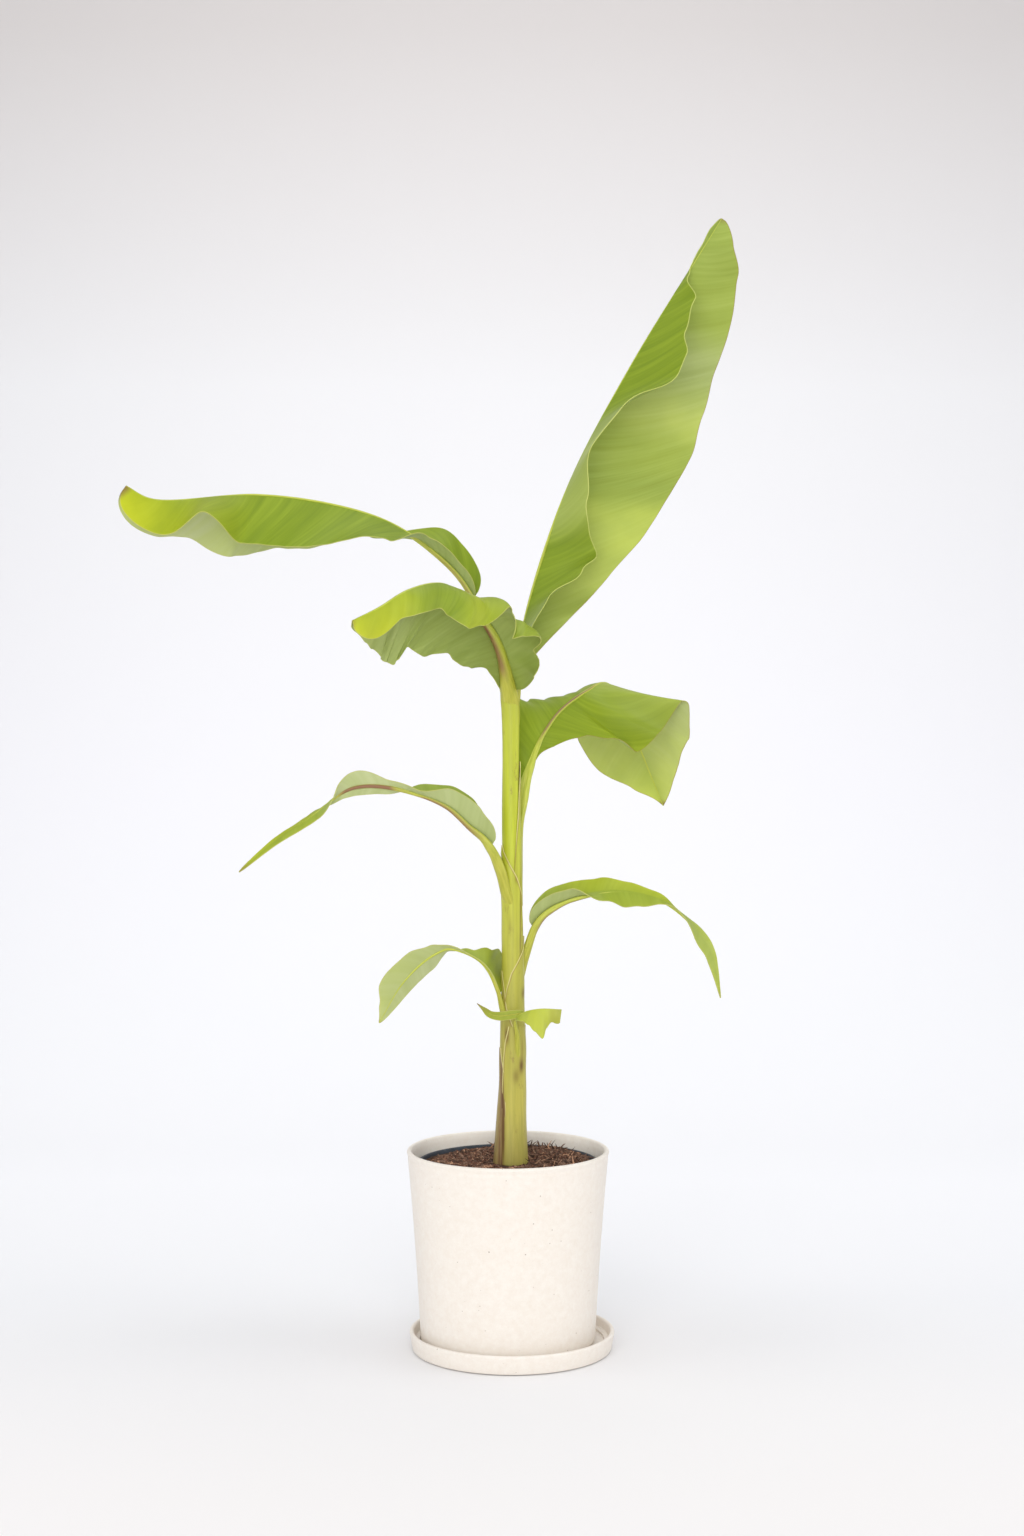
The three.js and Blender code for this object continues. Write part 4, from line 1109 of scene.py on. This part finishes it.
def leaf_blade(name, leaf, node):
    length = smooth_line(leaf["rib"], LINE_SAMPLES)[1]
    looked_at = np.linspace(0, 1, 20)
    widest = max(float(np.max(keyed(leaf[half]["width"], looked_at))) for half in ("left", "right"))
    rows = int(max(40, length / ROW_LENGTH))
    columns = 2 * int(max(6, widest / COLUMN_WIDTH))
    piece = flat_grid(name + "_blade", rows, columns)
    along, across = grid_shares(piece)
    along = leaf["petiole"] + (1 - leaf["petiole"]) * along
    # The grid's +Y side is the leaf's left, seen from its base with the upper side up.
    points, share, width = blade_points(name, leaf, along, -across)
    place_points(piece, points)
    out = np.abs(across) * width
    run = (along - leaf["petiole"]) * length
    left = across > 0
    veins_apart, runs_apart = HALVES_APART
    vein = run - VEIN_SLANT * out - VEIN_BEND * out ** 2 + left * veins_apart
    store(piece.data, "vein", vein * MM)
    store(piece.data, "run", (out * VEIN_STRETCH + left * runs_apart) * MM)
    store(piece.data, "edge", (width - out) * MM)
    # The amounts of yellow and grey are partly painted light: a glow through the blade and a sheen.
    wax_and_sheen, ripe_and_glow = (np.where(left, keyed(leaf[what]["left"], share), keyed(leaf[what]["right"], share))
                 for what in ("wax_and_sheen", "ripe_and_glow"))
    store(piece.data, "wax_and_sheen", wax_and_sheen)
    store(piece.data, "ripe_and_glow", ripe_and_glow * (0.6 + 0.4 * np.abs(across)))
    store(piece.data, "dry", keyed(leaf["dry"], share))
    store(piece.data, "rust", np.where(left, *leaf.get("rust", SOME_RUST)))
    for skin in LEAF_SKINS:
        piece.data.materials.append(skin)
    thicken(piece, BLADE_THICKNESS, material_offset=1, material_offset_rim=0)
    bpy.ops.object.shade_smooth_by_angle(angle=math.radians(50))
    belongs(piece, node)


for name, leaf in LEAVES.items():
    leaf_blade(name, leaf, name.removesuffix("_strip"))

# %% [markdown]
# The stem's own line comes first, because the leaves start inside it. It is given by a few
# heights, each with how far the axis leans sideways and the radius, and eased between them.

# %% Stem line
# Each ring is a sideways place, a height and a radius.
STEM_RINGS = [(-1.2, 184, 16.6), (-0.9, 220, 14.5), (0.4, 260, 12.5), (0.7, 299, 11.8),
              (0.8, 348, 10.4), (0.4, 417, 9.6), (0, 457, 9.6), (-0.4, 496, 9.1), (-1, 520, 8.6),
              (-1.3, 584, 8.1), (-1.7, 630, 8.9), (-2.5, 644, 9.1), (-3.4, 656, 8)]


def stem_at(height):
    """Sideways place of the stem's axis and its radius, at heights in mm."""
    aside, at, radius = smooth_line(STEM_RINGS, 300)[0].T
    return np.interp(height, at, aside), np.interp(height, at, radius)


stem_widths = 2 * stem_at(np.array([200, 400, 600]))[1]
print("stem is", [round(float(v), 1) for v in stem_widths], "mm thick")

# %% [markdown]
# The petiole, the stalk of the leaf, runs on as the midrib: round below, and hollowed like
# a gutter above. It is a grid rolled into a tube along the line, its seam merged and its
# ends filled. It is yellow-green, and where it grew in full sun it has a brown-red blush.

# %% Midribs
RIB_SIDES = 28
RIB_STEP = 2.5
GUTTER = 0.55
ROOT_LENGTH = 48
ROOT_SINK = 0.62
ROOT_TAPER = 0.6
ROOT_CURVE = 1.3
NO_BLUSH = dict(along=0, turn=0, spread=90)
RIB_STREAKS = 22
STREAK_STRETCH = 0.0025


def rolled_tube(name, rows, sides, points_of):
    """A grid rolled into a closed tube. points_of gives points for shares along and round."""
    piece = flat_grid(name, rows, sides)
    along, around = grid_shares(piece)
    place_points(piece, points_of(along, (around + 1) / 2))
    store(piece.data, "along", along)
    store(piece.data, "around", (around + 1) / 2)
    bpy.ops.object.mode_set(mode="EDIT")
    bpy.ops.mesh.select_all(action="SELECT")
    bpy.ops.mesh.remove_doubles(threshold=0.002 * MM)
    bpy.ops.mesh.select_all(action="DESELECT")
    bpy.ops.mesh.select_non_manifold()
    bpy.ops.mesh.edge_face_add()
    bpy.ops.mesh.select_all(action="SELECT")
    bpy.ops.mesh.normals_make_consistent(inside=False)
    bpy.ops.object.mode_set(mode="OBJECT")
    bpy.ops.object.shade_smooth_by_angle(angle=math.radians(60))
    return piece


def rib_material():
    """Fleshy skin with fine streaks, duller near the stem and red-brown where it blushes."""
    material, tree = new_material("green fleshy rib skin")
    around = add(tree, "Attribute", attribute_name="around").outputs["Fac"]
    blush = add(tree, "Attribute", attribute_name="blush").outputs["Fac"]
    along = add(tree, "Attribute", attribute_name="run").outputs["Fac"]
    streak_at = add(tree, "CombineXYZ", {"X": around, "Y": along})
    streaks = add(tree, "TexNoise", {"Vector": streak_at.outputs[0], "Scale": RIB_STREAKS,
                                     "Detail": 4})
    leafy = add(tree, "ValToRGB", {"Fac": streaks.outputs["Fac"]},
                stops=[(0.3, "#a6b23c"), (0.5, "#bac149"), (0.7, "#cbce5e")])
    stemlike = add(tree, "ValToRGB", {"Fac": streaks.outputs["Fac"]},
                   stops=[(0.3, "#a0a033"), (0.5, "#b0ae3c"), (0.7, "#bcb94a")])
    low = add(tree, "MapRange", {"Value": along, "From Min": 0.05, "From Max": 0.2,
                                 "To Min": 1, "To Max": 0})
    colour = layered(tree, leafy.outputs["Color"], [
        (low.outputs[0], stemlike.outputs["Color"]),
        (patchy(tree, streaks, blush), linear("#8a6044"))])
    finish(tree, colour, streaks.outputs["Fac"], 0.3, 0.3, {"Roughness": 0.42, "IOR": 1.42})
    return material


RIB_SKIN = rib_material()


def leaf_rib(name, leaf, node):
    length = smooth_line(leaf["rib"], LINE_SAMPLES)[1]
    root = 0 if name.endswith("strip") else ROOT_LENGTH
    rows = int(max(20, (length + root) / RIB_STEP))

    def shares(along):
        """Shares of the midrib's length. Below 0 is the root, which sinks into the stem."""
        return along * (1 + root / length) - root / length

    def points_of(along, around):
        along = shares(along)
        place, ahead, right, up, _ = rib_frames(leaf, np.maximum(along, 0))
        below = np.maximum(-along, 0) * length
        sunk = (below / ROOT_LENGTH) ** ROOT_CURVE
        place = place - below[:, None] * ahead
        axis, _ = stem_at(place[:, 2])
        inwards = np.stack([axis - place[:, 0], -place[:, 1], 0 * axis], -1)
        place = place + (ROOT_SINK * sunk)[:, None] * inwards
        radius = keyed(leaf["radius"], np.maximum(along, 0)) * (1 - ROOT_TAPER * sunk)
        angle = 2 * math.pi * around
        sideways = radius * np.cos(angle)
        height = radius * np.sin(angle)
        # The upper half is flattened and hollowed, and the whole is set a little lower.
        gutter = leaf.get("gutter", GUTTER) * np.exp(-(sideways / (0.5 * radius)) ** 2)
        height = np.where(height > 0, height * (0.5 - gutter * 0.7), height) - 0.15 * radius
        return place + sideways[:, None] * right + height[:, None] * up

    piece = rolled_tube(name + "_midrib", rows, RIB_SIDES, points_of)
    along = shares(stored(piece.data, "along"))
    blush = leaf.get("blush", NO_BLUSH)
    off = stored(piece.data, "around") * 360 - blush["turn"]
    off = np.abs((off + 180) % 360 - 180)
    redness = keyed(blush["along"], along) * np.clip(1.5 - off / blush["spread"], 0, 1)
    store(piece.data, "blush", redness)
    store(piece.data, "run", along * length * STREAK_STRETCH)
    piece.data.materials.append(RIB_SKIN)
    belongs(piece, node)


for name, leaf in LEAVES.items():
    leaf_rib(name, leaf, name.removesuffix("_strip"))

# %% [markdown]
# A banana's stem isn't wood. It is the leaf sheaths, rolled round each other, each ending
# in the petiole of one leaf. So it is made as a round core with faint ribs along it, and a
# thin sheet round it for each sheath whose free edge shows. A sheet starts narrow where its
# petiole leaves and widens downwards until it closes round the stem.

# %% Stem core
STEM_SIDES = 96
STEM_ROWS = 300
STEM_RIBS = 34
STEM_GRAIN = 3.33
STEM_SPOT = 9.1
# The core has no free edge, so it is told that the edge is this far away.
NO_EDGE = 50


def stem_skin():
    """Wet, smooth sheath skin: lime above, dull straw green below, brown at the foot."""
    material, tree = new_material("banana sheath skin")
    place = add(tree, "TexCoord").outputs["Object"]
    xyz = add(tree, "SeparateXYZ", {"Vector": place})
    height = add(tree, "MapRange", {"Value": xyz.outputs["Z"], "From Min": 184 * MM,
                                    "From Max": 660 * MM})
    tone = add(tree, "ValToRGB", {"Fac": height.outputs[0]},
               stops=[(0, "#b0a554"), (0.12, "#c8be53"), (0.3, "#b2ad47"), (0.5, "#bfc043"),
                      (0.7, "#c2cc2c"), (0.9, "#c0c838"), (1, "#b6bb3e")])
    old, mark, edge = (add(tree, "Attribute", attribute_name=key).outputs["Fac"]
                       for key in ("old", "mark", "edge"))
    long_grain = add(tree, "Mapping", {"Vector": place, "Scale": (1, 1, 0.03)})
    grain = add(tree, "TexNoise", {"Vector": long_grain.outputs[0], "Scale": 1000 / STEM_GRAIN,
                                   "Detail": 5, "Roughness": 0.7})
    darker = add(tree, "MapRange", {"Value": grain.outputs["Fac"], "From Min": 0.3,
                                    "From Max": 0.66, "To Min": 0.45, "To Max": 0})
    bark = add(tree, "ValToRGB", {"Fac": grain.outputs["Fac"]},
               stops=[(0.36, "#5f4029"), (0.47, "#836540"), (0.6, "#9c8653")])
    spot_at = add(tree, "Mapping", {"Vector": place, "Scale": (1, 1, 0.4)})
    spots = add(tree, "TexNoise", {"Vector": spot_at.outputs[0], "Scale": 1000 / STEM_SPOT,
                                   "Detail": 5, "Roughness": 0.7})
    spotted = add(tree, "MapRange", {"Value": spots.outputs["Fac"], "From Min": 0.6,
                                     "From Max": 0.72, "To Min": 0, "To Max": 0.6})
    # Millimetres from the free edge of a sheath: first pale and dry, then a thin brown line.
    browned = add(tree, "MapRange", {"Value": edge, "From Min": 1.0, "From Max": 2.6,
                                     "To Min": 0.7, "To Max": 0})
    dried = add(tree, "MapRange", {"Value": edge, "From Min": 0.6, "From Max": 1.3,
                                   "To Min": 0.9, "To Max": 0})
    colour = layered(tree, tone.outputs["Color"], [
        (darker.outputs[0], linear("#8e8c36")),
        (patchy(tree, grain, old), bark.outputs["Color"]),
        (spotted.outputs[0], linear("#7c5a37")),
        (mark, linear("#65461f")),
        (browned.outputs[0], linear("#8c6c35")),
        (dried.outputs[0], linear("#d6cf86"))])
    finish(tree, colour, grain.outputs["Fac"], 0.35, 0.4, {"Roughness": 0.4, "IOR": 1.42})
    return material


STEM_SKIN = stem_skin()

# %% [markdown]
# The stem is marked where it was bumped and where old sheaths were peeled off. Each bruise is
# a soft oval on the front side, and its strength is stored on the points of the core and of
# the sheaths alike, so that a bruise runs on from one to the other.

# %% Bruises
# Each has a sideways place, a height, a half width, a half height and a strength.
BRUISES = [(11, 354, 2, 5, 0.6), (9, 283, 2.2, 7, 0.9), (4, 273, 3.2, 7, 0.5),
           (4, 467, 1.5, 4, 0.5), (-5, 313, 2.2, 8, 0.9), (-2, 420, 1.5, 9, 0.3),
           (8, 402, 1.2, 14, 0.35), (-9, 240, 1.1, 52, 0.75), (10, 300, 1.4, 12, 0.4),
           (7, 560, 1.0, 20, 0.3), (8.2, 437, 0.7, 30, 0.7), (-8.4, 222, 1.7, 36, 0.9),
           (3, 318, 1.5, 3, 0.4)]


def bruises(x, y, z):
    """How strongly the skin is bruised at points given in mm, front side only."""
    total = sum(strength * np.exp(-((x - bx) / wide) ** 2 - ((z - bz) / high) ** 2)
                for bx, bz, wide, high, strength in BRUISES)
    return np.clip(total, 0, 1) * (y < 0)


def stem_core():
    foot, top = STEM_RINGS[0][1], STEM_RINGS[-1][1]

    def points_of(along, around):
        height = foot + (top - foot) * along
        axis, radius = stem_at(height)
        angle = 2 * math.pi * around
        relief = 0.14 * np.sin(STEM_RIBS * angle + 3 * np.sin(height / 90))
        swell = 0.25 * np.sin(2 * angle + height / 60) + 0.2 * np.sin(height / 23 + angle)
        radius = radius + relief + swell
        return np.stack([axis + radius * np.cos(angle), radius * np.sin(angle), height], -1)

    piece = rolled_tube("stem_core", STEM_ROWS, STEM_SIDES, points_of)
    x, y, z = places(piece.data) / MM
    # The foot has browned at the left.
    store(piece.data, "old", np.clip((320 - z) / 80, 0, 1) * np.clip((-x - 3) / 7, 0, 1))
    store(piece.data, "edge", np.full(len(x), NO_EDGE))
    store(piece.data, "mark", bruises(x, y, z))
    piece.data.materials.append(STEM_SKIN)
    belongs(piece, "pseudostem")


stem_core()

# %% [markdown]
# Each sheath is a sheet round the stem. "side" is the direction in which its leaf leaves,
# in degrees from the right, with the front of the plant at 270. "spread" gives how far the
# sheet reaches to both sides of that direction at each height. "lift" is how far it stands
# off the core, more at its top than at its foot, and "old" is how brown it is.

# %% Sheaths
SHEATHS = {
    "sheath_4": dict(side=10, spread=[(440, 100), (495, 78), (540, 46), (582, 16)], lift=1.0,
                     old=0.15),
    "sheath_5": dict(side=205, spread=[(330, 146), (425, 140), (449, 133), (469, 93), (484, 49),
                                       (494, 17), (500, 6)], lift=0.9, old=0.05),
    "sheath_6": dict(side=5, spread=[(300, 170), (330, 155), (345, 140), (359, 127), (374, 105),
                                     (390, 57), (402, 15), (410, 5)], lift=1.2, old=0.1),
    "sheath_7": dict(side=192, spread=[(262, 150), (310, 100), (340, 48), (376, 14)], lift=1.0,
                     old=0.15),
    "sheath_8": dict(side=310, spread=[(186, 68), (262, 88), (288, 86), (306, 76), (322, 60)],
                     lift=1.0, old=0.1),
    "sheath_old": dict(side=196, spread=[(185.5, 57), (240, 50), (275, 36), (300, 10)], lift=0.7,
                       old=1.0),
}
SHEATH_THICKNESS = 0.6
SHEATH_GAP = 0.35
SHEATH_STEP = 2
SHEATH_COLUMNS = 72


def sheath(name, about):
    heights, spreads = np.array(about["spread"], float).T
    rows = int((heights[-1] - heights[0]) / SHEATH_STEP)
    piece = flat_grid(name, rows, SHEATH_COLUMNS)
    along, across = grid_shares(piece)
    height = heights[0] + (heights[-1] - heights[0]) * along
    axis, radius = stem_at(height)
    reach = np.interp(height, heights, spreads)
    angle = np.radians(about["side"] + across * reach)
    hug = about["lift"] * (0.25 + 0.75 * along ** 1.5) + SHEATH_GAP
    wave = 0.25 * np.sin(height / 7 + 5 * across) * along
    radius = radius + hug + wave
    points = np.stack([axis + radius * np.cos(angle), radius * np.sin(angle), height], -1)
    place_points(piece, points)
    # Only the upper part of the free edge has dried, so lower down the edge's colours fade.
    from_edge = (1 - np.abs(across)) * np.radians(reach) * radius
    from_edge = from_edge + 2.5 * np.clip(1 - along / 0.6, 0, 1)
    store(piece.data, "edge", from_edge)
    # A sheath is brownest towards its edge on the side of growing angles, at the front.
    store(piece.data, "old", about["old"] * (0.75 + 0.55 * np.clip(1.6 * across - 0.4, 0, 1)))
    store(piece.data, "mark", bruises(*points.T))
    piece.data.materials.append(STEM_SKIN)
    thicken(piece, SHEATH_THICKNESS)
    bpy.ops.object.mode_set(mode="EDIT")
    bpy.ops.mesh.select_all(action="SELECT")
    bpy.ops.mesh.normals_make_consistent(inside=False)
    bpy.ops.object.mode_set(mode="OBJECT")
    bpy.ops.object.shade_smooth_by_angle(angle=math.radians(50))
    belongs(piece, "pseudostem")


for name, about in SHEATHS.items():
    sheath(name, about)
